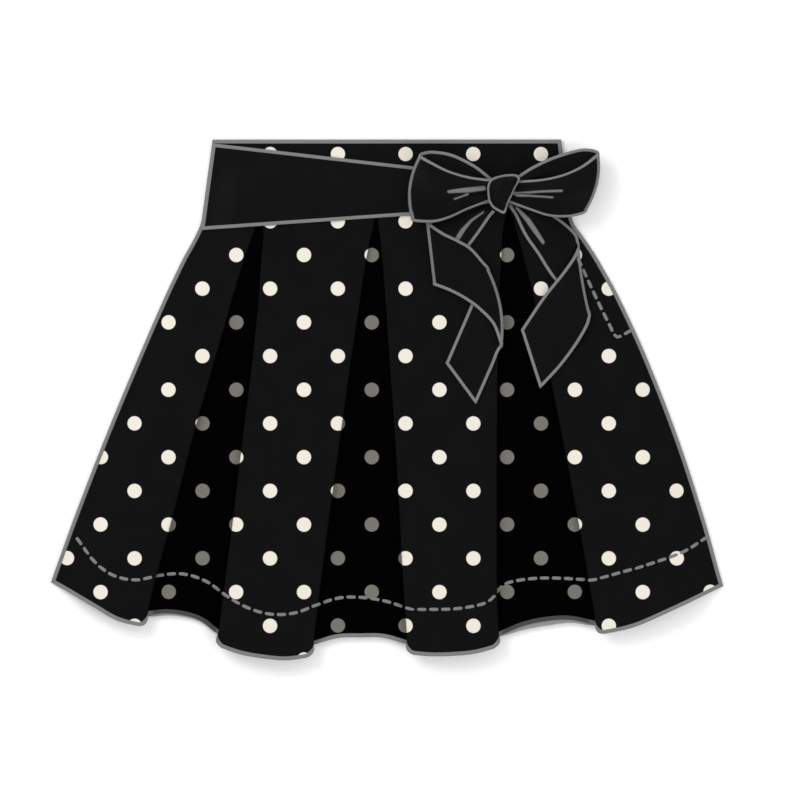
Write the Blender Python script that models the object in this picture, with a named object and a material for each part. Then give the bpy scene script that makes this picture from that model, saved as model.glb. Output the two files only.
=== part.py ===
"""A short pleated skirt with a sash tied in a bow, laid flat on its back.

Sizes are millimetres until a mesh is made. x runs across the skirt from its
middle, drop runs down the skirt from the waist edge, and z is the height above
the surface that the skirt lies on. The origin is the middle of the underside.
Every piece of cloth is one wall, given by the grid of its middle surface.
"""

from collections import namedtuple
from math import cos, pi, radians, sin, sqrt

import bmesh
import bpy
from mathutils import Vector

MM = 0.001

# Cloth
CLOTH = 1.2          # wall of the cloth
HALF = CLOTH / 2
GAP = 0.3            # clearance at seams and between layers
FOLD = 0.9           # radius of a pressed fold, to the middle of the wall

# Cut of the skirt
WAIST_LEFT = -173.3  # ends of the waist edge, laid flat
WAIST_RIGHT = 171.9
BAND = 67.0          # depth of the waistband
LENGTH = 516.5       # waist edge to the lowest point of the hem

# Height of the layers, to the middle of the wall
BACK_OUTER = HALF
BACK_RETURN = BACK_OUTER + 2 * FOLD
BACK_INNER = BACK_RETURN + 2 * FOLD
FRONT_INNER = BACK_INNER + CLOTH + GAP
FRONT_SIDE = BACK_OUTER + CLOTH + GAP
FRONT_SEAM = FRONT_INNER + 4 * FOLD
FRONT_HEM = 15.0     # front folds stand softly open at the hem
FOLD_HEM = 2.6       # radius of those folds at the hem
DOME_HEM = 4.5       # rise of a panel between its folds, at the hem
FALL_SEAM = 34.0     # width over which the front falls to the side seam, at the waist
FALL_HEM = 46.0      # and at the hem
HIDDEN_SEAM = 14.0   # cloth turned under each fold, at the seam
HIDDEN_HEM = 24.0    # and at the hem

# Where the side seams and the folds of the three inverted pleats run
Line = namedtuple("Line", "drop side_l fold_1l fold_1r fold_2l fold_2r fold_3l fold_3r side_r")
LINES = (
    Line(67, -182.4, -129.6, -128.4, -12.0, -10.8, 120.0, 121.2, 180.5),
    Line(83, -185.1, -131.5, -125.0, -13.9, -9.2, 116.3, 127.0, 184.8),
    Line(99, -192.4, -136.9, -124.3, -17.4, -7.1, 114.7, 131.7, 196.0),
    Line(119, -203.4, -143.8, -126.2, -21.4, -5.0, 113.6, 137.0, 209.0),
    Line(159, -222.4, -155.7, -129.0, -27.5, -2.0, 111.2, 146.9, 231.0),
    Line(219, -248.5, -172.9, -135.0, -36.6, 2.1, 110.0, 159.2, 258.4),
    Line(299, -281.6, -195.5, -145.0, -47.7, 7.8, 109.4, 175.4, 289.4),
    Line(379, -312.5, -215.8, -154.5, -58.7, 12.3, 109.1, 190.5, 315.4),
    Line(439, -334.0, -232.3, -162.3, -66.4, 15.6, 109.3, 201.2, 332.2),
    Line(499, -355.6, -246.3, -169.7, -74.0, 19.8, 110.9, 211.6, 350.2),
)
PANEL_LINES = (
    ("side_l", "fold_1l"), ("fold_1r", "fold_2l"), ("fold_2r", "fold_3l"), ("fold_3r", "side_r"),
)
PLEAT_LINES = (("fold_1l", "fold_1r"), ("fold_2l", "fold_2r"), ("fold_3l", "fold_3r"))

# Drop of the hem at five places across each panel and each open pleat
Hem = namedtuple("Hem", "left quarter half three_quarters right")
PANEL_HEM = (
    Hem(440.0, 451.6, 464.0, 477.0, 483.4),
    Hem(503.3, 510.7, 514.6, 516.5, 513.6),
    Hem(510.8, 512.5, 512.0, 509.8, 504.1),
    Hem(491.1, 483.9, 470.8, 457.2, 443.6),
)
PLEAT_HEM = (
    Hem(471.5, 469.7, 471.7, 477.6, 490.6),
    Hem(501.4, 494.6, 493.8, 494.3, 500.8),
    Hem(492.4, 482.4, 477.2, 476.2, 481.6),
)
BACK_PLEAT_HEM = (
    Hem(473.2, 471.2, 472.6, 477.9, 490.6),
    PLEAT_HEM[1],
    Hem(493.0, 485.8, 481.4, 478.6, 482.2),
)
CORNER_WIDE = 7.5    # a panel's hem turns round its corners
CORNER_HIGH = 8.0
FLARE = 1.2          # and its folds flare out a little there
FLARE_HIGH = 14.0
FLARE_FROM = 1.4      # heights above the fold's end where the flare begins

# Grid of the wall: rows as shares of the depth from seam to hem, and columns as
# shares of the width of a panel or pleat, between its folds
ROWS = (0.0, 0.037, 0.075, 0.12, 0.2, 0.3, 0.4, 0.5, 0.6, 0.7, 0.8, 0.9, 0.955, 1.0)
SIDE_PANEL = (0.0, 0.1, 0.22, 0.36, 0.52, 0.7, 0.86, 0.95, 0.98)
MIDDLE_PANEL = (0.02, 0.05, 0.16, 0.34, 0.5, 0.66, 0.84, 0.95, 0.98)
PLEAT = (0.17, 0.23, 0.32, 0.44, 0.56, 0.68, 0.77, 0.83)
FOLD_ANGLES = (90, 30, -30, -90)
BAND_ROWS = (0.0, 0.14, 0.29, 0.43, 0.57, 0.71, 0.86, 1.0)
BAND_COLUMNS = (0.0, 0.018, 0.038, 0.06, 0.085, 0.12, 0.3, 0.5, 0.7, 0.88, 0.915, 0.94, 0.962, 0.982, 1.0)

# The tied sash: a row for each section along a ribbon. x, drop and height of
# its two edges, and how far the middle of the section bows out and up. Heights
# are above the surface for the loops, and above the skirt for the rest.
Section = namedtuple("Section", "x1 drop1 z1 x2 drop2 z2 bow_x bow_z")
LYING = CLOTH + 2 * GAP
SASH_LEFT = (
    Section(-173.5, 3.8, LYING, -184.6, 86.6, LYING, 0, 0),
    Section(-167.5, 4.5, LYING, -178.0, 86.2, LYING, 0, 0),
    Section(-160.5, 5.3, LYING, -170.5, 85.7, LYING, 0, 0),
    Section(-153.0, 6.1, LYING, -162.0, 85.2, LYING, 0, 0),
    Section(-145.0, 7.0, LYING, -153.0, 84.6, LYING, 0, 0),
    Section(-134.0, 8.3, LYING, -141.0, 83.7, LYING, 0, 0),
    Section(-105.0, 11.6, LYING, -107.0, 81.3, LYING, 0, 0.4),
    Section(-65.0, 16.3, LYING, -66.0, 78.5, LYING, 0, 0.8),
    Section(-20.0, 21.5, LYING, -21.0, 75.3, LYING, 0, 1.0),
    Section(25.0, 26.7, LYING, 24.0, 72.2, LYING, 0, 1.0),
    Section(62.0, 31.5, LYING, 62.0, 69.6, LYING, 0, 0.8),
    Section(98.5, 38.0, LYING, 98.5, 66.2, LYING, 0, 0.3),
)
SASH_RIGHT = (
    Section(134.5, 38.5, 2.0, 125.6, 62.5, 2.0, 0, 0.3),
    Section(143.0, 34.0, 2.0, 137.5, 65.0, 2.0, 0, 0.3),
    Section(149.0, 30.8, 2.0, 147.0, 67.0, 2.0, 0, 0.2),
    Section(156.0, 27.0, 2.0, 155.5, 68.7, 2.0, 0, 0.1),
    Section(163.0, 23.2, LYING, 164.0, 70.0, 2.0, 0, 0),
    Section(169.0, 20.0, LYING, 173.0, 71.4, LYING, 0, 0),
    Section(174.0, 17.5, LYING, 180.4, 72.4, LYING, 0, 0),
)
LOOP_LEFT = (
    Section(103.0, 38.0, 17.5, 102.0, 60.0, 16.2, -2.5, 0.8),
    Section(87.0, 25.5, 16.6, 84.0, 64.0, 15.6, 0, 1.0),
    Section(65.0, 14.5, 16.0, 65.0, 71.0, 15.4, 0, 0.5),
    Section(46.0, 11.2, 17.0, 45.0, 76.0, 16.0, -3.0, 0),
    Section(36.0, 12.5, 19.0, 27.8, 75.4, 17.6, -5.8, 0),
    Section(31.8, 15.0, 22.0, 24.2, 76.0, 20.2, -6.4, 0.5),
    Section(34.8, 17.4, 25.2, 27.0, 79.0, 22.6, -6.0, 4.0),
    Section(46.0, 23.6, 27.0, 46.0, 80.8, 24.0, -3.5, 7.5),
    Section(60.0, 30.6, 27.5, 61.5, 75.6, 24.5, 0, 8.5),
    Section(80.0, 36.6, 26.0, 79.0, 67.5, 23.5, 0, 6.5),
    Section(103.0, 39.8, 24.0, 102.0, 58.6, 22.4, -2.5, 3.2),
)
LOOP_RIGHT = (
    Section(132.8, 36.3, 17.5, 122.8, 60.0, 16.2, 0, 0.8),
    Section(146.0, 26.2, 16.6, 140.0, 65.0, 15.6, 0, 1.0),
    Section(166.0, 15.6, 16.0, 158.0, 71.0, 15.4, 0, 0.5),
    Section(190.0, 9.6, 17.0, 180.0, 72.0, 16.0, 1.5, 0),
    Section(203.0, 9.2, 19.0, 193.0, 70.5, 17.6, 4.0, 0),
    Section(210.5, 12.2, 22.0, 198.6, 69.0, 20.2, 5.5, 0.5),
    Section(207.5, 16.0, 25.2, 193.5, 72.0, 22.6, 5.0, 4.0),
    Section(194.0, 26.2, 27.0, 180.0, 74.6, 24.0, 2.5, 7.5),
    Section(176.0, 34.4, 27.5, 161.5, 73.8, 24.5, 0, 8.5),
    Section(155.0, 39.2, 26.0, 142.0, 67.6, 23.5, 0, 6.5),
    Section(132.2, 41.0, 24.0, 123.2, 60.4, 22.4, 0, 3.2),
)
TAIL_LEFT = (
    Section(98.6, 60.0, 4.4, 106.2, 69.6, 4.6, 0, 0.3),
    Section(89.0, 63.0, 4.0, 101.4, 75.0, 3.4, 0, 0.8),
    Section(72.0, 68.8, 3.8, 88.8, 93.0, 2.2, 0, 1.6),
    Section(53.0, 77.0, 2.4, 67.5, 121.0, LYING, 0, 2.0),
    Section(42.8, 81.2, LYING, 50.4, 141.4, LYING, 0, 1.0),
    Section(39.9, 81.5, 2.4, 47.4, 141.9, 2.4, 0, 0.6),
    Section(39.0, 81.7, 4.0, 46.2, 142.3, 4.0, 0, 0.4),
    Section(40.1, 82.4, 5.7, 47.4, 142.9, 5.7, 0, 0.6),
    Section(43.3, 84.6, 6.4, 50.8, 144.0, 6.4, 0, 1.2),
    Section(55.4, 92.7, 6.6, 63.4, 148.9, 6.4, 0, 2.6),
    Section(70.0, 99.8, 6.8, 77.5, 156.4, 6.4, 0, 3.2),
    Section(83.0, 107.8, 6.8, 91.4, 166.4, 6.2, 0, 3.0),
    Section(95.8, 122.2, 6.4, 106.0, 181.8, 6.0, 2.9, 1.8),
    Section(100.0, 126.4, 5.6, 113.0, 199.6, 5.4, 5.2, 1.0),
    Section(101.0, 128.2, 4.0, 114.4, 203.4, 4.0, 5.8, 0.6),
    Section(99.6, 130.4, 2.4, 112.6, 205.4, 2.4, 5.0, 0.6),
    Section(95.0, 138.6, LYING, 109.2, 210.6, LYING, 2.0, 0.8),
    Section(85.0, 163.0, LYING, 104.5, 222.5, LYING, 0, 1.6),
    Section(72.5, 192.2, LYING, 96.0, 241.8, LYING, 0, 1.8),
    Section(59.8, 221.6, LYING, 88.0, 260.0, LYING, 0, 0.8),
)
TAIL_RIGHT = (
    Section(121.8, 63.6, 4.3, 125.4, 56.8, 4.3, 0, 0.1),
    Section(128.5, 73.5, 4.0, 140.0, 62.0, 4.4, 0, 0.3),
    Section(138.0, 93.0, 2.6, 160.0, 71.5, 4.2, 0, 1.2),
    Section(151.0, 112.0, 2.0, 177.0, 83.0, 2.6, 0, 1.8),
    Section(167.2, 136.5, LYING, 187.2, 93.0, 2.0, 0, 1.8),
    Section(192.5, 161.6, LYING, 190.0, 101.2, LYING, -0.8, 1.0),
    Section(200.0, 168.8, 2.4, 190.8, 103.6, 2.4, -1.2, 0.6),
    Section(201.8, 171.2, 4.0, 191.2, 106.0, 4.0, -1.4, 0.4),
    Section(201.2, 175.6, 5.7, 190.2, 109.0, 5.7, -1.2, 0.6),
    Section(198.4, 184.6, 6.2, 186.6, 116.5, 6.5, -0.6, 1.4),
    Section(187.9, 202.6, 4.6, 175.5, 132.5, 6.6, 0, 2.4),
    Section(172.0, 224.0, 2.4, 156.0, 157.2, 3.6, 0, 2.2),
    Section(153.0, 244.6, LYING, 135.0, 188.5, LYING, 0, 0.8),
)
ACROSS = 5           # spaces across a ribbon

# The knot, seen from above: a rounded wedge with its point towards the hem
Corner = namedtuple("Corner", "x drop")
KNOT = (
    Corner(103.9, 38.5), Corner(108.1, 36.4), Corner(114.2, 34.7), Corner(121.0, 33.8),
    Corner(128.4, 34.3), Corner(131.2, 36.6), Corner(130.4, 40.0), Corner(127.0, 47.6),
    Corner(123.4, 56.1), Corner(119.6, 63.8), Corner(116.7, 70.5), Corner(111.0, 68.9),
    Corner(105.8, 65.6), Corner(102.6, 60.5), Corner(101.2, 53.0), Corner(101.3, 44.8),
)
Layer = namedtuple("Layer", "z size")
KNOT_LAYERS = (
    Layer(12.2, 0.80), Layer(14.2, 0.98), Layer(16.0, 1.0), Layer(28.0, 1.0),
    Layer(32.2, 0.88), Layer(35.0, 0.66), Layer(36.4, 0.34),
)

BLACK_PRINT = (0.0070, 0.0070, 0.0070, 1.0)
BLACK_SASH = (0.0056, 0.0056, 0.0056, 1.0)


def through(xs, ys, x):
    """The smooth curve through a table's points, read at x."""
    last = len(xs) - 1
    i = max(0, min(last - 1, next((k for k in range(last) if x <= xs[k + 1]), last - 1)))

    def slope(k):
        a, b = max(0, k - 1), min(last, k + 1)
        return (ys[b] - ys[a]) / (xs[b] - xs[a])

    h = xs[i + 1] - xs[i]
    u = (x - xs[i]) / h
    return (
        ys[i] * (1 + 2 * u) * (1 - u) ** 2 + slope(i) * h * u * (1 - u) ** 2
        + ys[i + 1] * u * u * (3 - 2 * u) - slope(i + 1) * h * u * u * (1 - u)
    )


def ease(u):
    """0 to 1 with a soft start and a soft end."""
    u = max(0.0, min(1.0, u))
    return u * u * (3 - 2 * u)


def mix(a, b, u):
    return a + (b - a) * u


DROPS = [row.drop for row in LINES]


def line(name, drop):
    """x of a side seam or a fold. Above the waist seam the sides run straight."""
    if drop < BAND:
        top = WAIST_LEFT if name == "side_l" else WAIST_RIGHT
        return mix(top, getattr(LINES[0], name), drop / BAND)
    return through(DROPS, [getattr(row, name) for row in LINES], drop)


def hem(row, share):
    """Drop of the hem at a share of the width of a panel or pleat."""
    return through((0, 1 / 4, 1 / 2, 3 / 4, 1), row, max(0.0, min(1.0, share)))


def down(drop):
    """0 at the waist seam, 1 at the hem."""
    return max(0.0, min(1.0, (drop - BAND) / (LENGTH - BAND)))


def front_height(x, drop):
    """Height of the front of the skirt, over panels and closed pleats alike."""
    u = down(drop)
    folds = mix(FRONT_SEAM, FRONT_HEM, u)
    dome = 0.0
    for left, right in PANEL_LINES:
        a, b = line(left, max(drop, BAND)), line(right, max(drop, BAND))
        if a < x < b:
            dome = DOME_HEM * u * sin(pi * (x - a) / (b - a))
    edge = min(x - line("side_l", drop), line("side_r", drop) - x)
    full = mix(FRONT_SIDE, folds + dome, ease(edge / mix(FALL_SEAM, FALL_HEM, u)))
    return mix(FRONT_SIDE, full, ease(drop / BAND))


class Side:
    """How the layers of one side of the skirt lie."""

    def __init__(self, outer, inner, radius, up, pleat_hem, flare):
        self.outer = outer      # height of its panels
        self.inner = inner      # height of the floors of its pleats
        self.radius = radius    # of the folds, at a share of the way down
        self.up = up            # 1 where the panels lie above the pleats' floors
        self.pleat_hem = pleat_hem
        self.flare = flare      # how far its folds stand out at the hem


FRONT = Side(front_height, FRONT_INNER, lambda u: mix(FOLD, FOLD_HEM, u * u), 1, PLEAT_HEM, FLARE)
BACK = Side(lambda x, drop: BACK_OUTER, BACK_INNER, lambda u: FOLD, -1, BACK_PLEAT_HEM, 0.0)


def hidden(drop):
    return mix(HIDDEN_SEAM, HIDDEN_HEM, down(drop))


def place(column_hem, t):
    """Drop at share t of a column that runs from the waist seam to the hem."""
    return mix(BAND, column_hem, t)


def corner(away):
    """What a panel's rounded corner takes off its hem, so far in from the fold."""
    if away >= CORNER_WIDE:
        return 0.0
    return CORNER_HIGH * (1 - sqrt(1 - (1 - max(0.0, away) / CORNER_WIDE) ** 2))


def flare(side, fold_hem, drop):
    """How far a fold stands out beyond its line, near the hem."""
    return side.flare * ease((drop - fold_hem) / FLARE_HIGH + FLARE_FROM)


def panel_column(side, k, share):
    """One column of a panel, inside the round edges of its folds."""
    left, right = PANEL_LINES[k]
    row = PANEL_HEM[k]
    wide = line(right, row.right) - line(left, row.left)
    column_hem = hem(row, share)
    if k > 0:
        column_hem -= corner(share * wide + side.radius(1))
    if k < 3:
        column_hem -= corner((1 - share) * wide + side.radius(1))

    def at(t):
        drop = place(column_hem, t)
        round_edge = side.radius(down(drop)) + HALF
        a = line(left, drop) + (round_edge - flare(side, row.left, drop) if k > 0 else 0)
        b = line(right, drop) - (round_edge - flare(side, row.right, drop) if k < 3 else 0)
        x = mix(a, b, share)
        return x, drop, side.outer(x, drop)

    return at


def fold_column(side, k, hand, angle):
    """A point round the fold of pleat k; hand is 1 on its left and -1 on its right."""
    fold = PLEAT_LINES[k][0 if hand > 0 else 1]
    panel_hem = PANEL_HEM[k].right if hand > 0 else PANEL_HEM[k + 1].left
    a = radians(angle)
    away = 0.0
    if side.flare and angle > 0:    # the tight folds of the back stay level across
        away = side.radius(1) * (1 - cos(a))
    column_hem = panel_hem - corner(away)

    def at(t):
        drop = place(column_hem, t)
        r = side.radius(down(drop))
        middle = line(fold, drop) - hand * (r + HALF - flare(side, panel_hem, drop))
        top = side.outer(middle, drop)
        return middle + hand * r * cos(a), drop, top + side.up * (r * sin(a) - r)

    return at


def return_column(side, k, hand, angle):
    """A point round the hidden fold, where the cloth turns into the pleat's floor."""
    fold = PLEAT_LINES[k][0 if hand > 0 else 1]
    pleat_hem = side.pleat_hem[k].left if hand > 0 else side.pleat_hem[k].right

    def at(t):
        drop = place(pleat_hem, t)
        a = radians(angle)
        x = line(fold, drop) - hand * (hidden(drop) + FOLD * cos(a))
        return x, drop, side.inner + side.up * (FOLD + FOLD * sin(a))

    return at


def pleat_column(side, k, share):
    """One column of the floor of a pleat."""
    left, right = PLEAT_LINES[k]
    low = side.pleat_hem[k].half
    a, b = line(left, low), line(right, low)
    x = mix(a - hidden(low), b + hidden(low), share)
    column_hem = hem(side.pleat_hem[k], (x - a) / (b - a))

    def at(t):
        drop = place(column_hem, t)
        floor_l = line(left, drop) - hidden(drop)
        floor_r = line(right, drop) + hidden(drop)
        return mix(floor_l, floor_r, share), drop, side.inner

    return at


def skirt_columns(side):
    """All columns of one side of the skirt, following the cloth from left to right."""
    columns = []
    for k in range(len(PANEL_LINES)):
        shares = MIDDLE_PANEL
        if k == 0:
            shares = SIDE_PANEL
        if k == len(PANEL_LINES) - 1:
            shares = tuple(1 - share for share in reversed(SIDE_PANEL))
        columns += [panel_column(side, k, share) for share in shares]
        if k < len(PLEAT_LINES):
            columns += [fold_column(side, k, 1, a) for a in FOLD_ANGLES]
            columns += [return_column(side, k, 1, a) for a in FOLD_ANGLES]
            columns += [pleat_column(side, k, share) for share in PLEAT]
            columns += [return_column(side, k, -1, a) for a in reversed(FOLD_ANGLES)]
            columns += [fold_column(side, k, -1, a) for a in reversed(FOLD_ANGLES)]
    return columns


def section_offsets(points):
    """For each point of a section, its outward step across the wall, mitred."""
    steps = []
    for i in range(len(points)):
        around = []
        for a, b in ((i - 1, i), (i, i + 1)):
            if a >= 0 and b < len(points):
                along = Vector((points[b][0] - points[a][0], points[b][2] - points[a][2]))
                around.append(Vector((-along.y, along.x)).normalized())
        normal = sum(around, Vector((0, 0))).normalized()
        normal *= HALF / max(0.5, normal.dot(around[0]))
        steps.append(Vector((normal.x, 0, normal.y)))
    return steps


def grid_offsets(grid):
    """The same for a ribbon, from the slopes of its grid."""
    steps = []
    last_row, last_column = len(grid) - 1, len(grid[0]) - 1
    for i in range(last_row + 1):
        row = []
        for j in range(last_column + 1):
            down_step = Vector(grid[min(i + 1, last_row)][j]) - Vector(grid[max(i - 1, 0)][j])
            side_step = Vector(grid[i][min(j + 1, last_column)]) - Vector(grid[i][max(j - 1, 0)])
            row.append(down_step.cross(side_step).normalized() * HALF)
        steps.append(row)
    return steps


def to_world(point):
    """From x, drop and z in millimetres to metres about the origin."""
    x, drop, z = point
    return Vector((x, LENGTH / 2 - drop, z)) * MM


def add_object(name, bm, material):
    bmesh.ops.recalc_face_normals(bm, faces=bm.faces)
    mesh = bpy.data.meshes.new(name)
    bm.to_mesh(mesh)
    bm.free()
    mesh.materials.append(material)
    mesh.shade_smooth()
    mesh.set_sharp_from_angle(angle=radians(40))
    thing = bpy.data.objects.new(name, mesh)
    bpy.context.collection.objects.link(thing)
    return thing


def wall(name, grid, steps, material):
    """A closed wall of cloth about the grid of its middle surface."""
    bm = bmesh.new()
    faces = []
    for sign in (1, -1):
        faces.append([
            [bm.verts.new(to_world(Vector(p) + sign * s)) for p, s in zip(row, step_row)]
            for row, step_row in zip(grid, steps)
        ])
    upper, lower = faces
    rows, columns = len(grid), len(grid[0])
    for i in range(rows - 1):
        for j in range(columns - 1):
            for layer in (upper, lower):
                a, b = layer[i][j], layer[i][j + 1]
                c, d = layer[i + 1][j + 1], layer[i + 1][j]
                bm.faces.new((a, b, c, d))
    rim = [(0, j) for j in range(columns)] + [(i, columns - 1) for i in range(1, rows)]
    rim += [(rows - 1, j) for j in range(columns - 2, -1, -1)]
    rim += [(i, 0) for i in range(rows - 2, 0, -1)]
    for (i, j), (m, n) in zip(rim, rim[1:] + rim[:1]):
        bm.faces.new((upper[i][j], upper[m][n], lower[m][n], lower[i][j]))
    return add_object(name, bm, material)


def skirt_side(name, side, material):
    """Front or back of the skirt: four panels and three inverted pleats in one wall."""
    columns = skirt_columns(side)
    grid = [[column(t) for column in columns] for t in ROWS]
    return wall(name, grid, [section_offsets(row) for row in grid], material)


def waistband(name, side, material):
    grid = []
    for share in BAND_ROWS:
        drop = share * (BAND - GAP)
        left, right = line("side_l", drop), line("side_r", drop)
        row = [(x, drop, side.outer(x, drop)) for x in (mix(left, right, v) for v in BAND_COLUMNS)]
        grid.append(row)
    return wall(name, grid, [section_offsets(row) for row in grid], material)


def ribbon(name, sections, base, material):
    """A stretch of the sash through its sections; base gives the height under it."""
    grid = []
    for s in sections:
        row = []
        for j in range(ACROSS + 1):
            v = j / ACROSS
            bow = 4 * v * (1 - v)
            x = mix(s.x1, s.x2, v) + s.bow_x * bow
            drop = mix(s.drop1, s.drop2, v)
            row.append((x, drop, base(x, drop) + mix(s.z1, s.z2, v) + s.bow_z * bow))
        grid.append(row)
    return wall(name, grid, grid_offsets(grid), material)


def knot(name, material):
    bm = bmesh.new()
    middle_x = sum(c.x for c in KNOT) / len(KNOT)
    middle_drop = sum(c.drop for c in KNOT) / len(KNOT)
    rings = []
    for layer in KNOT_LAYERS:
        rings.append([
            bm.verts.new(to_world((
                mix(middle_x, c.x, layer.size), mix(middle_drop, c.drop, layer.size), layer.z,
            )))
            for c in KNOT
        ])
    for low, high in zip(rings, rings[1:]):
        for i in range(len(KNOT)):
            n = (i + 1) % len(KNOT)
            bm.faces.new((low[i], low[n], high[n], high[i]))
    bm.faces.new(rings[0])
    bm.faces.new(rings[-1])
    return add_object(name, bm, material)


def cloth_material(name, colour, roughness):
    material = bpy.data.materials.new(name)
    material.use_nodes = True
    shader = material.node_tree.nodes["Principled BSDF"]
    shader.inputs["Base Color"].default_value = colour
    shader.inputs["Roughness"].default_value = roughness
    shader.inputs["Metallic"].default_value = 0.0
    return material


def build():
    for thing in list(bpy.data.objects):
        bpy.data.objects.remove(thing, do_unlink=True)
    print_cloth = cloth_material("dotted_cloth", BLACK_PRINT, 0.8)
    sash_cloth = cloth_material("sash_cloth", BLACK_SASH, 0.55)

    waistband("waistband_back", BACK, print_cloth)
    waistband("waistband_front", FRONT, print_cloth)
    skirt_side("skirt_back", BACK, print_cloth)
    skirt_side("skirt_front", FRONT, print_cloth)

    for name, sections in (
        ("sash_left", SASH_LEFT), ("sash_right", SASH_RIGHT),
        ("tail_left", TAIL_LEFT), ("tail_right", TAIL_RIGHT),
    ):
        ribbon(name, sections, front_height, sash_cloth)
    for name, sections in (("bow_loop_left", LOOP_LEFT), ("bow_loop_right", LOOP_RIGHT)):
        ribbon(name, sections, lambda x, drop: 0.0, sash_cloth)
    knot("bow_knot", sash_cloth)


build()
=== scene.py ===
"""A short black skirt with a cream dot print, open inverted pleats and a sash tied
in a bow. It lies flat on its back and is seen from straight above.

Sizes are millimetres until a mesh is made, as a maker would note them: x runs
across the skirt from its middle, drop runs down it from the waist edge, and z is
the height above the floor. Each piece of cloth is a thin closed wall about the
grid of its middle surface.
"""

from collections import namedtuple
from math import atan2, copysign, cos, exp, hypot, pi, radians, sin, sqrt

import bmesh
import bpy
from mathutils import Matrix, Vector
from mathutils.bvhtree import BVHTree

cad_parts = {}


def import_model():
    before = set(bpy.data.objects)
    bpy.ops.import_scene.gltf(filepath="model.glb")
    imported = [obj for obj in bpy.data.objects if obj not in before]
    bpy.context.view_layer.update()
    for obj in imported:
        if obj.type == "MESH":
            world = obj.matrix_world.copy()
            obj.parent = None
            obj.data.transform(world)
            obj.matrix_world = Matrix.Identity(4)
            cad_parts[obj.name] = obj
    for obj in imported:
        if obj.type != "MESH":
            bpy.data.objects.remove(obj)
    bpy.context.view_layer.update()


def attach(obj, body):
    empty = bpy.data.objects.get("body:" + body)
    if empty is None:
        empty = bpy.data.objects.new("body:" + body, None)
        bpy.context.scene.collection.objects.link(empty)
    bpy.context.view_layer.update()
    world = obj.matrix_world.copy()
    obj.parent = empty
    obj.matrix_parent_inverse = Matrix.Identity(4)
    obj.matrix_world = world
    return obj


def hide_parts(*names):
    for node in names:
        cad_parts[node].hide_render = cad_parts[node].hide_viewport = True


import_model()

MM = 0.001
UP = Vector((0, 0, 1))
DOWN = Vector((0, 0, -1))


def rows_of(kind, *rows):
    """A table of one kind of row."""
    return [kind(*row) for row in rows]


# Cloth and layers, as in the solids
CLOTH = 1.2
HALF = CLOTH / 2
GAP = 0.3
FOLD = 0.9
WAIST_LEFT = -173.3
WAIST_RIGHT = 171.9
BAND = 67.0
LENGTH = 516.5
BACK_OUTER = HALF
BACK_INNER = BACK_OUTER + 4 * FOLD
FRONT_INNER = BACK_INNER + CLOTH + GAP
FRONT_SIDE = BACK_OUTER + CLOTH + GAP
FRONT_SEAM = FRONT_INNER + 4 * FOLD
FRONT_HEM = 15.0
FOLD_HEM = 2.6
DOME_HEM = 4.5
FALL_SEAM = 34.0
FALL_HEM = 46.0
HIDDEN_SEAM = 14.0
HIDDEN_HEM = 24.0
RIBBON_CLOTH = 1.1
DEEPEST = 530        # the side and fold lines are worked out down to here

# Side seams and the folds of the three inverted pleats
Line = namedtuple("Line", "drop side_l fold_1l fold_1r fold_2l fold_2r fold_3l fold_3r side_r")
LINES = rows_of(
    Line,
    (67, -182.4, -129.6, -128.4, -12.0, -10.8, 120.0, 121.2, 180.5),
    (83, -185.1, -131.5, -125.0, -13.9, -9.2, 116.3, 127.0, 184.8),
    (99, -192.4, -136.9, -124.3, -17.4, -7.1, 114.7, 131.7, 196.0),
    (119, -203.4, -143.8, -126.2, -21.4, -5.0, 113.6, 137.0, 209.0),
    (159, -222.4, -155.7, -129.0, -27.5, -2.0, 111.2, 146.9, 231.0),
    (219, -248.5, -172.9, -135.0, -36.6, 2.1, 110.0, 159.2, 258.4),
    (299, -281.6, -195.5, -145.0, -47.7, 7.8, 109.4, 175.4, 289.4),
    (379, -312.5, -215.8, -154.5, -58.7, 12.3, 109.1, 190.5, 315.4),
    (439, -334.0, -232.3, -162.3, -66.4, 15.6, 109.3, 201.2, 332.2),
    (499, -355.6, -246.3, -169.7, -74.0, 19.8, 110.9, 211.6, 350.2),
)
PANEL_LINES = (
    ("side_l", "fold_1l"), ("fold_1r", "fold_2l"), ("fold_2r", "fold_3l"), ("fold_3r", "side_r"),
)
PLEAT_LINES = (("fold_1l", "fold_1r"), ("fold_2l", "fold_2r"), ("fold_3l", "fold_3r"))
LAST_PANEL = len(PANEL_LINES) - 1
LAST_PLEAT = len(PLEAT_LINES) - 1
Hem = namedtuple("Hem", "left quarter half three_quarters right")
PANEL_HEM = rows_of(
    Hem,
    (440.0, 451.6, 464.0, 477.0, 483.4),
    (503.3, 510.7, 514.6, 516.5, 513.6),
    (510.8, 512.5, 512.0, 509.8, 504.1),
    (491.1, 483.9, 470.8, 457.2, 443.6),
)
PLEAT_HEM = rows_of(
    Hem,
    (471.5, 469.7, 471.7, 477.6, 490.6),
    (501.4, 494.6, 493.8, 494.3, 500.8),
    (492.4, 482.4, 477.2, 476.2, 481.6),
)
BACK_PLEAT_HEM = rows_of(
    Hem,
    (473.2, 471.2, 472.6, 477.9, 490.6),
    PLEAT_HEM[1],
    (493.0, 485.8, 481.4, 478.6, 482.2),
)
CORNER_WIDE = 7.5    # a panel's hem turns round its corners
CORNER_HIGH = 8.0
FLARE = 1.2          # and its folds flare out a little there
FLARE_HIGH = 14.0
FLARE_FROM = 1.4     # it begins this many of those heights above the fold's end

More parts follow.
